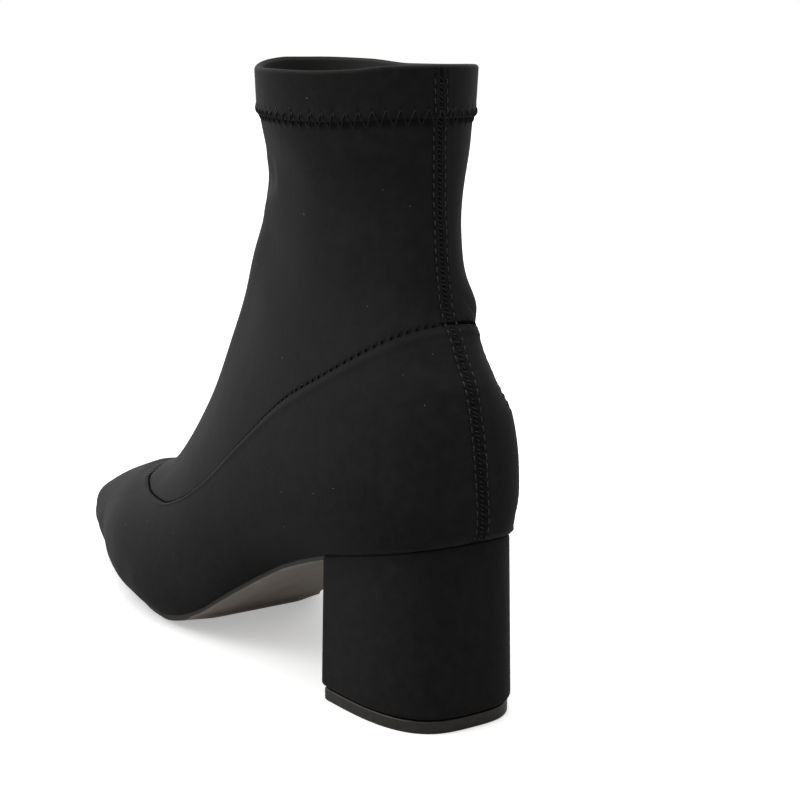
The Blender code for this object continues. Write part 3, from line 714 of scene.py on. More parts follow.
def spot(row, ring, raised):
    """Point at a row and a distance round from the back seam, raised off the surface."""
    low = min(int(row), len(skin) - 2)
    place = np.zeros(3)
    for ring_row, weight in ((low, 1 - (row - low)), (low + 1, row - low)):
        around = ring % ring_length[ring_row]
        column = float(np.interp(around, ring_run[ring_row], np.arange(COLUMNS + 1)))
        near, share = int(column) % COLUMNS, column - int(column)
        after = (near + 1) % COLUMNS
        point = (1 - share) * surface[ring_row, near] + share * surface[ring_row, after]
        out = (1 - share) * normals[ring_row, near] + share * normals[ring_row, after]
        place += weight * (point + raised * out)
    return place


def cloth_level(row, lap):
    """Level of the cloth at a row, each lap reaching some rows past its seam."""
    if row >= HEM_ROW - lap:
        return HEM_LEVEL
    return PANEL_LEVEL if row <= SEAM_ROW + lap else SOCK_LEVEL


def rolled(edge, up, out, radius, turns):
    """Rows of a cloth's edge rolled over by a radius."""
    rows = [math.sin(turn) * up + (math.cos(turn) - 1) * out for turn in turns]
    return edge + radius * np.array(rows)


def ride_along(name, points, faces):
    """Smooth mesh of points in millimetres, placed in the scene on the boot's body."""
    mesh = bpy.data.meshes.new(name)
    mesh.from_pydata((points.reshape(-1, 3) * MM).tolist(), [], faces.tolist())
    mesh.shade_smooth()
    piece = bpy.data.objects.new(name, mesh)
    bpy.context.scene.collection.objects.link(piece)
    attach(piece, "root")
    return piece


def grid_piece(name, points, closed=True, shadow=None):
    """Mesh of a grid of points, with closed rings and the shade painted in its seams."""
    rows, columns = points.shape[:2]
    index = np.arange(rows * columns).reshape(rows, columns)
    after = np.roll(index, -1, axis=1)
    if not closed:
        index, after = index[:, :-1], index[:, 1:]
    faces = np.stack((index[:-1], after[:-1], after[1:], index[1:]), -1).reshape(-1, 4)
    piece = ride_along(name, points, faces)
    if shadow is not None:
        held = piece.data.attributes.new("hollow", "FLOAT", "POINT")
        held.data.foreach_set("value", shadow.reshape(-1).astype(np.float32))
    return piece


def tubes(name, runs, radius, sides=6):
    """Mesh of many threads, each a run of the same count of points."""
    runs = np.array(runs)
    along = unit(np.gradient(runs, axis=1))
    across = unit(np.cross(along, np.array([0.31, 0.17, 0.94])))
    other = np.cross(along, across)
    turn = np.linspace(0, 2 * math.pi, sides, endpoint=False)[None, None, :, None]
    taper = np.full(runs.shape[1], radius)
    taper[[0, -1]] = 0.4 * radius
    ring = np.cos(turn) * across[:, :, None] + np.sin(turn) * other[:, :, None]
    points = runs[:, :, None] + taper[None, :, None, None] * ring
    index = np.arange(points[..., 0].size).reshape(points.shape[:3])
    after = np.roll(index, -1, axis=2)
    faces = np.stack((index[:, :-1], after[:, :-1], after[:, 1:], index[:, 1:]), -1)
    return ride_along(name, points, faces.reshape(-1, 4))


# Look of the stretch fabric, shared by the upper and the heel's cover: a matte
# knit with a fine grain, a soft uneven pull and shade painted into its colour in the seams
def tone_ramp(tree, source, dark, light):
    """Colour between a dark and a light tone, each given with its place on the ramp."""
    ramp = tree.nodes.new("ShaderNodeValToRGB")
    for element, (position, colour) in zip(ramp.color_ramp.elements, (dark, light)):
        element.position = position
        element.color = (*colour, 1.0)
    tree.links.new(source, ramp.inputs["Fac"])
    return ramp.outputs["Color"]


knit = bpy.data.node_groups.new("stretch_knit", "ShaderNodeTree")
knit.interface.new_socket("Grain", in_out="INPUT", socket_type="NodeSocketFloat")
knit.interface.new_socket("Colour", in_out="OUTPUT", socket_type="NodeSocketColor")
knit.interface.new_socket("Roughness", in_out="OUTPUT", socket_type="NodeSocketFloat")
knit.interface.new_socket("Normal", in_out="OUTPUT", socket_type="NodeSocketVector")
knit_in, knit_out = (knit.nodes.new(f"NodeGroup{end}") for end in ("Input", "Output"))
knit_place = knit.nodes.new("ShaderNodeTexCoord")


def knit_node(kind, values, way):
    """Node of the knit with its inputs set, over the object's place or the stretched one."""
    node = knit.nodes.new(kind)
    for key, value in values.items():
        node.inputs[key].default_value = value
    knit.links.new(way, node.inputs["Vector"])
    return node


def knit_bump(height, distance, strength, under=None):
    """Bump of the knit over the one under it."""
    bump = knit.nodes.new("ShaderNodeBump")
    bump.inputs["Distance"].default_value = distance
    if isinstance(strength, float):
        bump.inputs["Strength"].default_value = strength
    else:
        knit.links.new(strength, bump.inputs["Strength"])
    if under is not None:
        knit.links.new(under, bump.inputs["Normal"])
    knit.links.new(height, bump.inputs["Height"])
    return bump.outputs["Normal"]


own_place = knit_place.outputs["Object"]
knit_stretch = knit_node("ShaderNodeMapping", {"Scale": (1.0, 1.0, 0.55)}, own_place)
stretched = knit_stretch.outputs["Vector"]
GRAIN = {"Scale": 1500.0, "Detail": 3.0, "Roughness": 0.6}
WALE = {"Scale": 1100.0, "Randomness": 0.75}
PULL = {"Scale": 55.0, "Detail": 2.0, "Roughness": 0.5}
NAP = {"Scale": 260.0, "Detail": 4.0, "Roughness": 0.62}
grain = knit_node("ShaderNodeTexNoise", GRAIN, stretched)
wale = knit_node("ShaderNodeTexVoronoi", WALE, stretched)
pull = knit_node("ShaderNodeTexNoise", PULL, own_place)
nap = knit_node("ShaderNodeTexNoise", NAP, own_place)
held_shadow = knit.nodes.new("ShaderNodeAttribute")
held_shadow.attribute_name = "hollow"
FABRIC_DARK, FABRIC_LIGHT = (0.30, (0.0052, 0.0051, 0.0052)), (0.72, (0.0108, 0.0106, 0.0105))
fabric_tone = tone_ramp(knit, nap.outputs["Fac"], FABRIC_DARK, FABRIC_LIGHT)
# Painted shade: the colour goes toward black where the hollow attribute is set in the seams
sunk = knit.nodes.new("ShaderNodeMix")
sunk.data_type = "RGBA"
sunk.inputs[7].default_value = (0.0003, 0.0003, 0.0003, 1.0)
knit.links.new(held_shadow.outputs["Fac"], sunk.inputs[0])
knit.links.new(fabric_tone, sunk.inputs[6])
knit.links.new(sunk.outputs[2], knit_out.inputs["Colour"])
gloss = knit.nodes.new("ShaderNodeMapRange")
gloss.inputs["To Min"].default_value = 0.66
gloss.inputs["To Max"].default_value = 0.82
knit.links.new(nap.outputs["Fac"], gloss.inputs["Value"])
knit.links.new(gloss.outputs["Result"], knit_out.inputs["Roughness"])
soft_bump = knit_bump(pull.outputs["Fac"], 0.0009, 0.30)
wale_bump = knit_bump(wale.outputs["Distance"], 0.00016, 0.20, soft_bump)
grain_bump = knit_bump(grain.outputs["Fac"], 0.00016, knit_in.outputs["Grain"], wale_bump)
knit.links.new(grain_bump, knit_out.inputs["Normal"])


def knit_material(name, grain_strength):
    """Black stretch fabric with its own strength of grain."""
    material = bpy.data.materials.new(name)
    material.use_nodes = True
    tree = material.node_tree
    shader = tree.nodes["Principled BSDF"]
    shader.inputs["Specular IOR Level"].default_value = 0.14
    shader.inputs["Sheen Weight"].default_value = 0.05
    shader.inputs["Sheen Roughness"].default_value = 0.36
    shader.inputs["Sheen Tint"].default_value = (1.0, 0.99, 0.98, 1.0)
    look = tree.nodes.new("ShaderNodeGroup")
    look.node_tree = knit
    look.inputs["Grain"].default_value = grain_strength
    for output, socket in (("Colour", "Base Color"), ("Roughness", "Roughness"), ("Normal", "Normal")):
        tree.links.new(look.outputs[output], shader.inputs[socket])
    return material


def plain_material(name, colour, rough, gloss=0.5):
    """Even finish in one colour."""
    material = bpy.data.materials.new(name)
    material.use_nodes = True
    shader = material.node_tree.nodes["Principled BSDF"]
    shader.inputs["Base Color"].default_value = colour
    shader.inputs["Roughness"].default_value = rough
    shader.inputs["Specular IOR Level"].default_value = gloss
    return material


# Foot panel: lower piece of stretch fabric, lasted under the board, whose top
# edge laps over the sock panel
fabric = knit_material("black_stretch_fabric", 0.24)
TURN_UNDER = ((5.5, 0.25), (2.5, 0.25), (1.0, 0.22), (0.45, 0.14))
FEATHER_END, PANEL_ROLL, ROLL_TURN = 22.0, 0.3, 0.62 * math.pi
foot_rows = np.arange(0, SEAM_ROW + 1)
foot_points = lay(foot_rows, PANEL_LEVEL)
feather = foot_points[0]
feather_way = np.roll(feather, -1, axis=0) - np.roll(feather, 1, axis=0)
feather_in = np.cross(feather_way, np.array([0.0, 0.0, 1.0]))
feather_in[:, 2] = 0.0
feather_in = unit(feather_in)
feather_x = np.clip(feather[:, 0], 0.0, TIP - FEATHER_END)
toward = np.stack((feather_x, lean(feather[:, 2])), -1) - feather[:, :2]
feather_in *= np.sign(np.sum(feather_in[:, :2] * toward, axis=-1))[:, None]
turned_under = []
for inwards, down in TURN_UNDER:
    turned = feather + inwards * feather_in
    turned[:, 2] = bottom_height(np.clip(turned[:, 0], HEEL_BACK, TIP)) - down
    turned[:, 1] = np.where(feather[:, 1] * turned[:, 1] < 0, 0.0, turned[:, 1])
    turned_under.append(turned)
edge_out = normals[SEAM_ROW]
edge_up = unit(skin[SEAM_ROW + 1] - skin[SEAM_ROW])
roll = rolled(foot_points[-1], edge_up, edge_out, PANEL_ROLL, np.linspace(0.3, ROLL_TURN, 6))
foot_points = np.concatenate((np.array(turned_under), foot_points, roll))
foot_shadow = np.pad(hollow[foot_rows], ((len(turned_under), len(roll)), (0, 0)), mode="edge")
foot_panel = grid_piece("foot_panel", foot_points, shadow=foot_shadow)
foot_panel.data.materials.append(fabric)
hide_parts("upper")

# Sock panel: the shaft in one piece of stretch fabric, closed by the back seam. Its
# lower edge is tucked under the foot panel and stitched to it
sock_rows = np.arange(SEAM_ROW, HEM_ROW + 3)
sock_points = lay(sock_rows, SOCK_LEVEL)
TUCK_DOWN, TUCK_IN = 1.6, 0.25
tucked = sock_points[0] - TUCK_DOWN * edge_up - TUCK_IN * edge_out
sock_points = np.concatenate((tucked[None], sock_points))
sock_shadow = np.pad(hollow[sock_rows], ((1, 0), (0, 0)), mode="edge")
sock_panel = grid_piece("sock_panel", sock_points, shadow=sock_shadow)
sock_panel.data.materials.append(fabric)

# Collar hem: the top of the sock turned in and laid double, so that it stands out
# over the shaft. Its inner half is the lining's cloth
hem_rows = np.arange(HEM_ROW, TOP_ROW - 1)
hem_points = lay(hem_rows, HEM_LEVEL)
HEM_ROLL, RIM_RADIUS, HEM_END_OUT = 0.5, 1.1, 0.5
low_out, rim_out = normals[HEM_ROW], normals[TOP_ROW - 2]
low_up = unit(skin[HEM_ROW + 1] - skin[HEM_ROW])
rim_up = unit(skin[TOP_ROW] - skin[TOP_ROW - 1])
under_roll = rolled(hem_points[0], -low_up, low_out, HEM_ROLL, np.linspace(ROLL_TURN, 0.3, 6))
over_roll = rolled(hem_points[-1], rim_up, rim_out, RIM_RADIUS, np.linspace(0.25, math.pi, 12))
inner_hem = lay(hem_rows[::-1][1:], HEM_LEVEL - 2 * RIM_RADIUS)
inner_end = inner_hem[-1] + HEM_END_OUT * low_out
hem_points = np.concatenate((under_roll, hem_points, over_roll, inner_hem, inner_end[None]))
hem_shadow = np.zeros(hem_points.shape[:2])
hem_shadow[len(under_roll) : len(under_roll) + len(hem_rows)] = hollow[hem_rows]
collar_hem = grid_piece("collar_hem", hem_points, shadow=hem_shadow)
# Lining cloth, lighter than the outer fabric; its colour is partly painted light, raised for the little
# light that reaches inside the boot
lining_cloth_and_painted_light = plain_material("lining_cloth_and_painted_light", (0.040, 0.039, 0.0375, 1.0), 0.8, 0.3)
collar_hem.data.materials.append(fabric)
collar_hem.data.materials.append(lining_cloth_and_painted_light)
LINING_FROM_ROLL = 8
inside_from = (len(under_roll) + len(hem_rows) + LINING_FROM_ROLL) * COLUMNS
inside = np.arange(len(collar_hem.data.polygons)) >= inside_from
collar_hem.data.polygons.foreach_set("material_index", inside.astype(np.int32))

# Lining: the inside of the stretch wall, down to the insole. It turns the front
# ridge in a wider curve than the outside and stays a little narrower
LINING_DEPTH, LINING_NARROWER = 1.9, 1.0
lining_rings = []
for row in np.concatenate((np.arange(0, HEM_ROW, 3), [HEM_ROW + 2])):
    ring = surface[row] - LINING_DEPTH * wide_normals[row]
    middle_line = lean(ring[:, 2])
    half = np.maximum(np.abs(ring[:, 1] - middle_line) - LINING_NARROWER, 0.0)
    ring[:, 1] = middle_line + np.where(np.arange(COLUMNS) <= HALF_COLUMNS, half, -half)
    lining_rings.append(ring[::2])
lining_points = np.array(lining_rings)
lining_panel = grid_piece("lining_panel", lining_points)
lining_panel.data.materials.append(lining_cloth_and_painted_light)

# Hem zigzag: one thread up and down over the hem's lower edge, pulled tight so
# that the fabric puckers at each needle hole
thread = plain_material("black_thread", (0.014, 0.0135, 0.013, 1.0), 0.40, 0.50)
flat_thread = plain_material("flat_black_thread", (0.0085, 0.0083, 0.008, 1.0), 0.6, 0.25)
chance = np.random.default_rng(7)
zigzag_runs = []
LEG_POINTS, THREAD_LIFT, LEG_DIP = 9, 0.20, 0.42
for k in range(2 * hem_count):
    start, end = k / (2 * hem_count), (k + 1) / (2 * hem_count)
    low, high = (-HEM_REACH, HEM_REACH) if k % 2 else (HEM_REACH, -HEM_REACH)
    run = []
    for share in np.linspace(0.0, 1.0, LEG_POINTS):
        ring = start + (end - start) * share
        up = low + (high - low) * share
        near = int(np.interp(ring, ring_share[HEM_ROW], np.arange(COLUMNS)))
        row = row_above(HEM_ROW, up, near)
        level = SOCK_LEVEL + (HEM_LEVEL - SOCK_LEVEL) * float(ease((up + 0.7) / 1.0))
        round_back = ring * np.interp(row, np.arange(len(skin)), ring_length)
        raised = level + THREAD_LIFT - LEG_DIP * abs(2 * share - 1) ** 5
        run.append(spot(row, round_back, raised))
    zigzag_runs.append(run)
hem_zigzag = tubes("hem_zigzag", zigzag_runs, 0.21)
hem_zigzag.data.materials.append(flat_thread)

# Back seam stitches: black thread in a column each side of the seam, with the
# loose strands of the joining stitch across it
BACK_START, BACK_STOP, STITCH_SHARE = 2.0, 2.4, 0.66
STITCH_LIFT, STITCH_DIP, STRAND_LIFT, STRAND_DIP = 0.18, 0.40, 0.25, 0.15
back_runs, strand_runs = [], []
back_climb = climb[:, 0]
along_run = np.linspace(0.0, 1.0, 7)
for k in range(int((back_climb[TOP_ROW] - BACK_STOP) / BACK_PITCH)):
    for side in (-1, 1):
        run = []
        sway = chance.normal(0.0, 0.06)
        for share in along_run:
            up = BACK_START + BACK_PITCH * (k + STITCH_SHARE * share)
            row = float(np.interp(up, back_climb, np.arange(len(skin))))
            raised = cloth_level(row, 1) + STITCH_LIFT - STITCH_DIP * abs(2 * share - 1) ** 4
            run.append(spot(row, side * BACK_COLUMN_GAP + sway, raised))
        back_runs.append(run)
    for part in (0.0, 0.5):
        start = BACK_PITCH * (k + part) + chance.uniform(0.0, 0.35)
        slant = chance.uniform(0.35, 0.95)
        half = chance.uniform(0.40, 0.65)
        run = []
        for share in along_run:
            row = float(np.interp(BACK_START + start + slant * share, back_climb, np.arange(len(skin))))
            raised = cloth_level(row, 1) + STRAND_LIFT - STRAND_DIP * abs(2 * share - 1)
            run.append(spot(row, half * (2 * share - 1), raised))
        strand_runs.append(run)
back_stitches = tubes("back_stitches", back_runs, 0.20)
back_stitches.data.materials.append(thread)
back_strands = tubes("back_strands", strand_runs, 0.13)
back_strands.data.materials.append(thread)

# Panel seam stitches: short slanted dashes sunk in the sock panel along the foot
# panel's top edge
# The dashes' thread is black and painted darker than the other threads, as painted shade of the stitch
# holes
shaded_dash_thread = plain_material("black_thread_painted_dark", (0.0012, 0.0012, 0.0012, 1.0), 0.9, 0.05)
DASH_UP, DASH_LONG, DASH_SLANT, DASH_DIP = 1.55, 1.3, 0.8, 0.34
CLEAR_OF_BACK, CLEAR_OF_FRONT = 3.2, 4.0
panel_runs = []
panel_length = float(ring_length[SEAM_ROW])
panel_front = float(ring_run[SEAM_ROW, HALF_COLUMNS])
for k in range(int(panel_length / PANEL_PITCH)):
    start = k * PANEL_PITCH + chance.normal(0.0, 0.08)
    near_back = min(start, panel_length - start) < CLEAR_OF_BACK
    if near_back or abs(start - panel_front) < CLEAR_OF_FRONT:
        continue
    near = int(np.interp(start, ring_run[SEAM_ROW], np.arange(COLUMNS + 1))) % COLUMNS
    run = []
    for share in along_run:
        row = row_above(SEAM_ROW, DASH_UP - DASH_LONG * share, near)
        raised = SOCK_LEVEL + STITCH_LIFT - DASH_DIP * abs(2 * share - 1) ** 4
        run.append(spot(row, start + DASH_SLANT * share, raised))
    panel_runs.append(run)
panel_stitches = tubes("panel_stitches", panel_runs, 0.20)
panel_stitches.data.materials.append(shaded_dash_thread)

# Lint: pale fibres caught on the fabric. Six have set places in x and z and the
# others lie anywhere
LINT = ((141.8, 29.4), (28.3, 65.2), (2.5, 71.1), (0.3, 150.7), (5.6, 155.2), (24.8, 182.2))
LOOSE_LINT, LINT_LIFT = 46, 0.10
lint_runs, lint_spots = [], []
for x, z in LINT:
    nearest_spot = np.argmin(np.hypot(grid_x - x, grid_z - z))
    lint_spots.append(np.unravel_index(nearest_spot, grid_x.shape))
for _ in range(LOOSE_LINT):
    lint_spots.append((chance.integers(4, TOP_ROW - 4), chance.integers(12, COLUMNS - 12)))
for row, column in lint_spots:
    way = chance.uniform(0, 2 * math.pi)
    size = chance.uniform(0.12, 0.45)
    bend = chance.uniform(-0.8, 0.8)
    out = normals[row, column]
    first = unit(np.cross(out, np.array([0.3, 0.2, 0.9])))
    second = np.cross(out, first)
    middle_point = surface[row, column] + (cloth_level(row, 0) + LINT_LIFT) * out
    run = []
    for share in np.linspace(-1.0, 1.0, 5):
        turn = way + bend * share
        along = share * size * (math.cos(turn) * first + math.sin(turn) * second)
        run.append(middle_point + along)
    lint_runs.append(run)
lint = tubes("lint", lint_runs, 0.075, 5)
lint.data.materials.append(plain_material("pale_lint", (0.20, 0.19, 0.18, 1.0), 0.8, 0.2))

# Block heel: a plastic core covered in the same fabric, glued on and turned in at
# the bottom, so that it stands a little fuller there than at the seat
HEEL_POINTS, HEEL_FLOOR, LIFT_HIGH = 360, 4.2, 3.9
COVER_TOP, COVER_BOTTOM, SEAT_GAP = 0.3, 1.1, 0.3
TURN_IN, TURN_HIGH, SEAT_CURL = 2.0, 1.8, 0.7
COVER_UNDER, CLOSED_IN = -3.0, -9.0


def heel_plan(grow):
    """Evenly spaced points round the heel's D-shaped plan, its breast corners softened."""
    turn = np.linspace(-math.pi / 2, math.pi / 2, 4000)
    half, depth = HEEL_WIDE / 2, HEEL_DEEP
    y = np.sign(np.sin(turn)) * np.abs(np.sin(turn)) ** (2 / HEEL_ROUND) * half
    x = BREAST - np.abs(np.cos(turn)) ** (2 / HEEL_ROUND) * depth
    line = np.column_stack((x, y))
    line = np.vstack((line, line[:1]))
    run = np.concatenate(([0.0], np.cumsum(np.hypot(*np.diff(line, axis=0).T))))
    even = np.linspace(0.0, run[-1], HEEL_POINTS, endpoint=False)
    plan = np.column_stack([np.interp(even, run, line[:, k]) for k in (0, 1)])
    for _ in range(10):
        plan = 0.25 * np.roll(plan, 1, axis=0) + 0.5 * plan + 0.25 * np.roll(plan, -1, axis=0)
    way = np.roll(plan, -1, axis=0) - np.roll(plan, 1, axis=0)
    out = unit(np.column_stack((way[:, 1], -way[:, 0])))
    out *= np.sign(np.sum(out * plan, axis=-1))[:, None]
    return plan + grow * out


def heel_ring(grow, height):
    """Ring round the heel's plan, at one height or at a height for each point."""
    plan = heel_plan(grow)
    return np.column_stack((plan, np.broadcast_to(height, len(plan))))


heel_rings = [heel_ring(COVER_UNDER, HEEL_FLOOR)]
for share in np.linspace(0.0, 1.0, 9):
    inwards = TURN_IN * (1 - math.sqrt(1 - (1 - share) ** 2))
    heel_rings.append(heel_ring(COVER_BOTTOM - inwards, HEEL_FLOOR + TURN_HIGH * share))
seat_slope = (BREAST_HIGH - HEEL_HIGH) / HEEL_DEEP
seat = HEEL_HIGH + seat_slope * (heel_plan(COVER_TOP)[:, 0] - HEEL_BACK) - SEAT_GAP
cover_low, cover_high = HEEL_FLOOR + TURN_HIGH, seat - SEAT_CURL
for share in np.linspace(0.0, 1.0, 70)[1:]:
    grow = COVER_BOTTOM + (COVER_TOP - COVER_BOTTOM) * share
    heel_rings.append(heel_ring(grow, cover_low + share * (cover_high - cover_low)))
for turn in np.linspace(0.0, math.pi / 2, 6)[1:]:
    grow = COVER_TOP - SEAT_CURL * (1 - math.cos(turn))
    heel_rings.append(heel_ring(grow, cover_high + SEAT_CURL * math.sin(turn)))
heel_rings.append(heel_ring(CLOSED_IN, seat - 0.1))
heel_cover = grid_piece("heel_cover", np.array(heel_rings))
heel_cover.data.materials.append(knit_material("heel_cover_fabric", 0.24))
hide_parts("heel")

# Fine grain of moulded rubber, shared by the top lift and the sole, each with its
# own scale and strength
moulded = bpy.data.node_groups.new("moulded_grain", "ShaderNodeTree")
for label in ("Scale", "Detail", "Strength"):
    moulded.interface.new_socket(label, in_out="INPUT", socket_type="NodeSocketFloat")
moulded.interface.new_socket("Fac", in_out="OUTPUT", socket_type="NodeSocketFloat")
moulded.interface.new_socket("Normal", in_out="OUTPUT", socket_type="NodeSocketVector")
moulded_in = moulded.nodes.new("NodeGroupInput")
moulded_out = moulded.nodes.new("NodeGroupOutput")
moulded_place = moulded.nodes.new("ShaderNodeTexCoord")
moulded_noise = moulded.nodes.new("ShaderNodeTexNoise")
moulded_bump = moulded.nodes.new("ShaderNodeBump")
moulded_bump.inputs["Distance"].default_value = 0.0002
for source, sink in (
    (moulded_place.outputs["Object"], moulded_noise.inputs["Vector"]),
    (moulded_in.outputs["Scale"], moulded_noise.inputs["Scale"]),
    (moulded_in.outputs["Detail"], moulded_noise.inputs["Detail"]),
    (moulded_in.outputs["Strength"], moulded_bump.inputs["Strength"]),
    (moulded_noise.outputs["Fac"], moulded_bump.inputs["Height"]),
    (moulded_noise.outputs["Fac"], moulded_out.inputs["Fac"]),
    (moulded_bump.outputs["Normal"], moulded_out.inputs["Normal"]),
):
    moulded.links.new(source, sink)


def moulded_grain(tree, scale, detail, strength):
    """Fine grain placed in a rubber's material, which takes its normal from it."""
    node = tree.nodes.new("ShaderNodeGroup")
    node.node_tree = moulded
    for key, value in (("Scale", scale), ("Detail", detail), ("Strength", strength)):
        node.inputs[key].default_value = value
    tree.links.new(node.outputs["Normal"], tree.nodes["Principled BSDF"].inputs["Normal"])
    return node


# Top lift: dark moulded rubber, nailed under the heel and set in a little from the
# turned edge of the cover
LIFT_FORM = [(CLOSED_IN, 0.0), (-0.6, 0.0), (-0.05, 0.06), (0.15, 0.35), (0.20, 0.8)]
LIFT_FORM += [(0.20, height) for height in np.linspace(1.1, LIFT_HIGH - 0.4, 10)]
LIFT_FORM += [(0.14, 3.66), (-0.10, 3.86), (-0.6, LIFT_HIGH), (CLOSED_IN, LIFT_HIGH)]
lift_rings = [heel_ring(grow, height) for grow, height in LIFT_FORM]
LIFT_DARK, LIFT_LIGHT = (0.35, (0.0150, 0.0125, 0.0095)), (0.70, (0.028, 0.0235, 0.018))
rubber = plain_material("lift_rubber", (0.030, 0.026, 0.023, 1.0), 0.30, 0.55)
rubber_tree = rubber.node_tree
rubber_grain = moulded_grain(rubber_tree, 700.0, 4.0, 0.35)
rubber_tone = tone_ramp(rubber_tree, rubber_grain.outputs["Fac"], LIFT_DARK, LIFT_LIGHT)
rubber_tree.links.new(rubber_tone, rubber_tree.nodes["Principled BSDF"].inputs["Base Color"])
lift = grid_piece("heel_lift", np.array(lift_rings))
lift.data.materials.append(rubber)
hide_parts("top_lift")

# Outsole: one thin rubber layer glued on from the heel's breast to the toe, thicker
# at the forepart, where it starts in a curved step
SOLE_THICK, SHANK_THICK, SOLE_IN = 3.4, 1.8, 1.4
STEP_SHARE, STEP_CURVE, STEP_RUN = 0.345, 8.0, 3.0
CROWN, CROWN_FROM, EDGE_ROUND, EDGE_RISE = 1.1, 0.55, 1.2, 0.6
sole_start, sole_end = BREAST + 0.3, TIP - SOLE_IN
sole_x = sole_start + (sole_end - sole_start) * np.sin(np.linspace(0.0, math.pi / 2, 420))


def edge_inside(x, side, inset):
    """Half width of the bottom outline on one side, set in all round."""
    best = np.full(x.shape, 99.0)
    for shift in np.linspace(-inset, inset, 15):
        near = x + shift
        inside = (near >= HEEL_BACK - LEDGE) & (near <= TIP)
        width = np.where(inside, bottom_outline(np.clip(near, HEEL_BACK - LEDGE, TIP), side), 0.0)
        best = np.minimum(best, width - math.sqrt(max(inset**2 - shift**2, 0.0)))
    return np.maximum(best, 0.0)


sole_share = np.sin(np.linspace(-math.pi / 2, math.pi / 2, 51))
sole_outer, sole_inner = (edge_inside(sole_x, side, SOLE_IN) for side in (1, -1))
sole_half = np.where(sole_share[None] > 0, sole_outer[:, None], sole_inner[:, None])
sole_y = sole_share[None] * sole_half
sole_top = (bottom_height(sole_x) - 0.3)[:, None] + 0 * sole_y
step_line = BREAST + STEP_SHARE * FOREPART + STEP_CURVE * (sole_y / (BALL / 2)) ** 2
forepart = ease((sole_x[:, None] - step_line) / STEP_RUN)
crown = CROWN * ease((np.abs(sole_share)[None] - CROWN_FROM) / (1 - CROWN_FROM)) * forepart
sole_low = sole_top - SHANK_THICK - (SOLE_THICK - SHANK_THICK) * forepart + crown
from_edge = sole_half * (1 - np.abs(sole_share)[None])
edge_round = 1 - superellipse((EDGE_ROUND - from_edge) / EDGE_ROUND, 2)
sole_low = sole_low + EDGE_RISE * edge_round * (from_edge < EDGE_ROUND)
grid_low = np.stack((sole_x[:, None] + 0 * sole_y, sole_y, sole_low), -1)
outer_top = np.stack((sole_x, sole_y[:, -1], sole_top[:, -1]), -1)[:, None]
inner_top = np.stack((sole_x, sole_y[:, 0], sole_top[:, 0]), -1)[:, None]
WALL = (0.12, 0.35, 0.65, 0.9, 1.0)
outer_wall = [outer_top * share + grid_low[:, -1:] * (1 - share) for share in WALL]
inner_wall = [inner_top * share + grid_low[:, :1] * (1 - share) for share in WALL[::-1]]
sole_points = np.concatenate(inner_wall + [grid_low] + outer_wall, axis=1)
sole_front = sole_points[-1:].copy()
sole_front[..., 2] = sole_top[-1, 0]
sole_points = np.concatenate((sole_points, sole_front))
sole = grid_piece("sole_layer", sole_points, closed=False)
sole_finish = plain_material("sole_rubber", (0.10, 0.085, 0.07, 1.0), 0.5, 0.45)
sole_tree = sole_finish.node_tree
sole_place = sole_tree.nodes.new("ShaderNodeTexCoord")
sole_wear = sole_tree.nodes.new("ShaderNodeTexNoise")
sole_wear.inputs["Scale"].default_value = 120.0
sole_wear.inputs["Detail"].default_value = 6.0
sole_tree.links.new(sole_place.outputs["Object"], sole_wear.inputs["Vector"])
# The underside is painted lighter, as painted light for the little light it gets from the floor:
# lighter at the waist, darker towards the toe, and dark on the edge faces that turn sideways
SOLE_DARK, SOLE_LIGHT = (0.30, (0.36, 0.315, 0.270)), (0.75, (0.47, 0.415, 0.360))
sole_tone = tone_ramp(sole_tree, sole_wear.outputs["Fac"], SOLE_DARK, SOLE_LIGHT)
sole_split = sole_tree.nodes.new("ShaderNodeSeparateXYZ")
sole_tree.links.new(sole_place.outputs["Object"], sole_split.inputs["Vector"])
# Colour darker towards the toe, from the waist onwards
sole_along = sole_tree.nodes.new("ShaderNodeMapRange")
sole_along.inputs["From Min"].default_value = 0.100
sole_along.inputs["From Max"].default_value = 0.165
sole_along.inputs["To Min"].default_value = 1.0
sole_along.inputs["To Max"].default_value = 0.42
sole_tree.links.new(sole_split.outputs["X"], sole_along.inputs["Value"])


def dimmed(colour, level):
    """The sole's colour times a level."""
    mix = sole_tree.nodes.new("ShaderNodeMix")
    mix.data_type = "RGBA"
    mix.blend_type = "MULTIPLY"
    mix.inputs[0].default_value = 1.0
    sole_tree.links.new(colour, mix.inputs[6])
    sole_tree.links.new(level, mix.inputs[7])
    return mix.outputs[2]


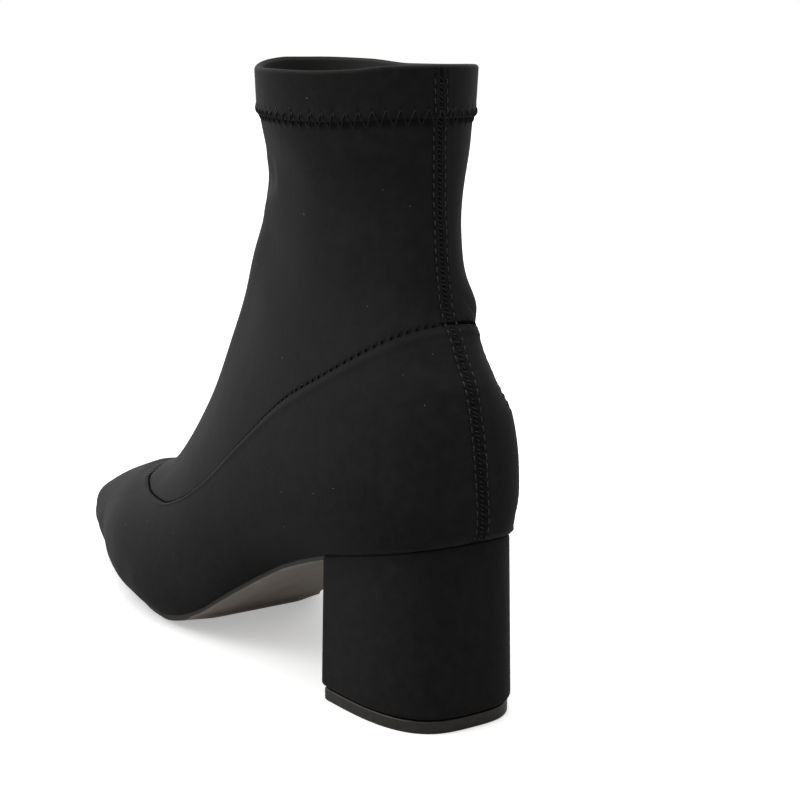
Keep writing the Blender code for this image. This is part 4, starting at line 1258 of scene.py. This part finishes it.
sole_face = sole_tree.nodes.new("ShaderNodeNewGeometry")
sole_tilt = sole_tree.nodes.new("ShaderNodeSeparateXYZ")
sole_tree.links.new(sole_face.outputs["Normal"], sole_tilt.inputs["Vector"])
# Painted light by the way each face turns: faces that look down keep the lighter colour, and faces
# turned sideways at the edge are dimmed
sole_underside_painted_light = sole_tree.nodes.new("ShaderNodeMapRange")
sole_underside_painted_light.inputs["From Min"].default_value = -0.45
sole_underside_painted_light.inputs["From Max"].default_value = -0.85
sole_underside_painted_light.inputs["To Min"].default_value = 0.08
sole_underside_painted_light.inputs["To Max"].default_value = 1.0
sole_tree.links.new(sole_tilt.outputs["Z"], sole_underside_painted_light.inputs["Value"])
sole_colour = dimmed(sole_tone, sole_along.outputs["Result"])
sole_colour = dimmed(sole_colour, sole_underside_painted_light.outputs["Result"])
sole_tree.links.new(sole_colour, sole_tree.nodes["Principled BSDF"].inputs["Base Color"])
moulded_grain(sole_tree, 900.0, 2.0, 0.4)
sole.data.materials.append(sole_finish)
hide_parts("outsole")

# Insole cover: dark woven cloth glued over the insole board. It lies inside the
# upper and is seen only down the shaft
BOARD_IN, BOARD_HIGH = 2.4, 2.6
board_start, board_end = HEEL_BACK - LEDGE + BOARD_IN, TIP - BOARD_IN
board_x = board_start + (board_end - board_start) * (1 - np.cos(np.linspace(0.0, math.pi, 260))) / 2
board_share = np.sin(np.linspace(-math.pi / 2, math.pi / 2, 31))
board_half = np.where(
    board_share[None] > 0,
    edge_inside(board_x, 1, BOARD_IN)[:, None],
    edge_inside(board_x, -1, BOARD_IN)[:, None],
)
board_y = board_share[None] * board_half
board_low = bottom_height(board_x)[:, None] + 0 * board_y
board_edge = BOARD_HIGH * (1 - 0.25 * np.abs(board_share)[None] ** 12)
top_side = np.stack((board_x[:, None] + 0 * board_y, board_y, board_low + board_edge), -1)
low_side = np.stack((board_x[:, None] + 0 * board_y, board_y, board_low), -1)[:, ::-1]
insole_cover = grid_piece("insole_cover", np.concatenate((top_side, low_side), axis=1))
cloth = plain_material("insole_cloth", (0.020, 0.019, 0.018, 1.0), 0.85, 0.3)
cloth_tree = cloth.node_tree
cloth_place = cloth_tree.nodes.new("ShaderNodeTexCoord")
weave = cloth_tree.nodes.new("ShaderNodeTexVoronoi")
weave.inputs["Scale"].default_value = 1300.0
cloth_tree.links.new(cloth_place.outputs["Object"], weave.inputs["Vector"])
weave_bump = cloth_tree.nodes.new("ShaderNodeBump")
weave_bump.inputs["Strength"].default_value = 0.5
weave_bump.inputs["Distance"].default_value = 0.0002
cloth_tree.links.new(weave.outputs["Distance"], weave_bump.inputs["Height"])
cloth_tree.links.new(weave_bump.outputs["Normal"], cloth_tree.nodes["Principled BSDF"].inputs["Normal"])
insole_cover.data.materials.append(cloth)
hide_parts("insole")
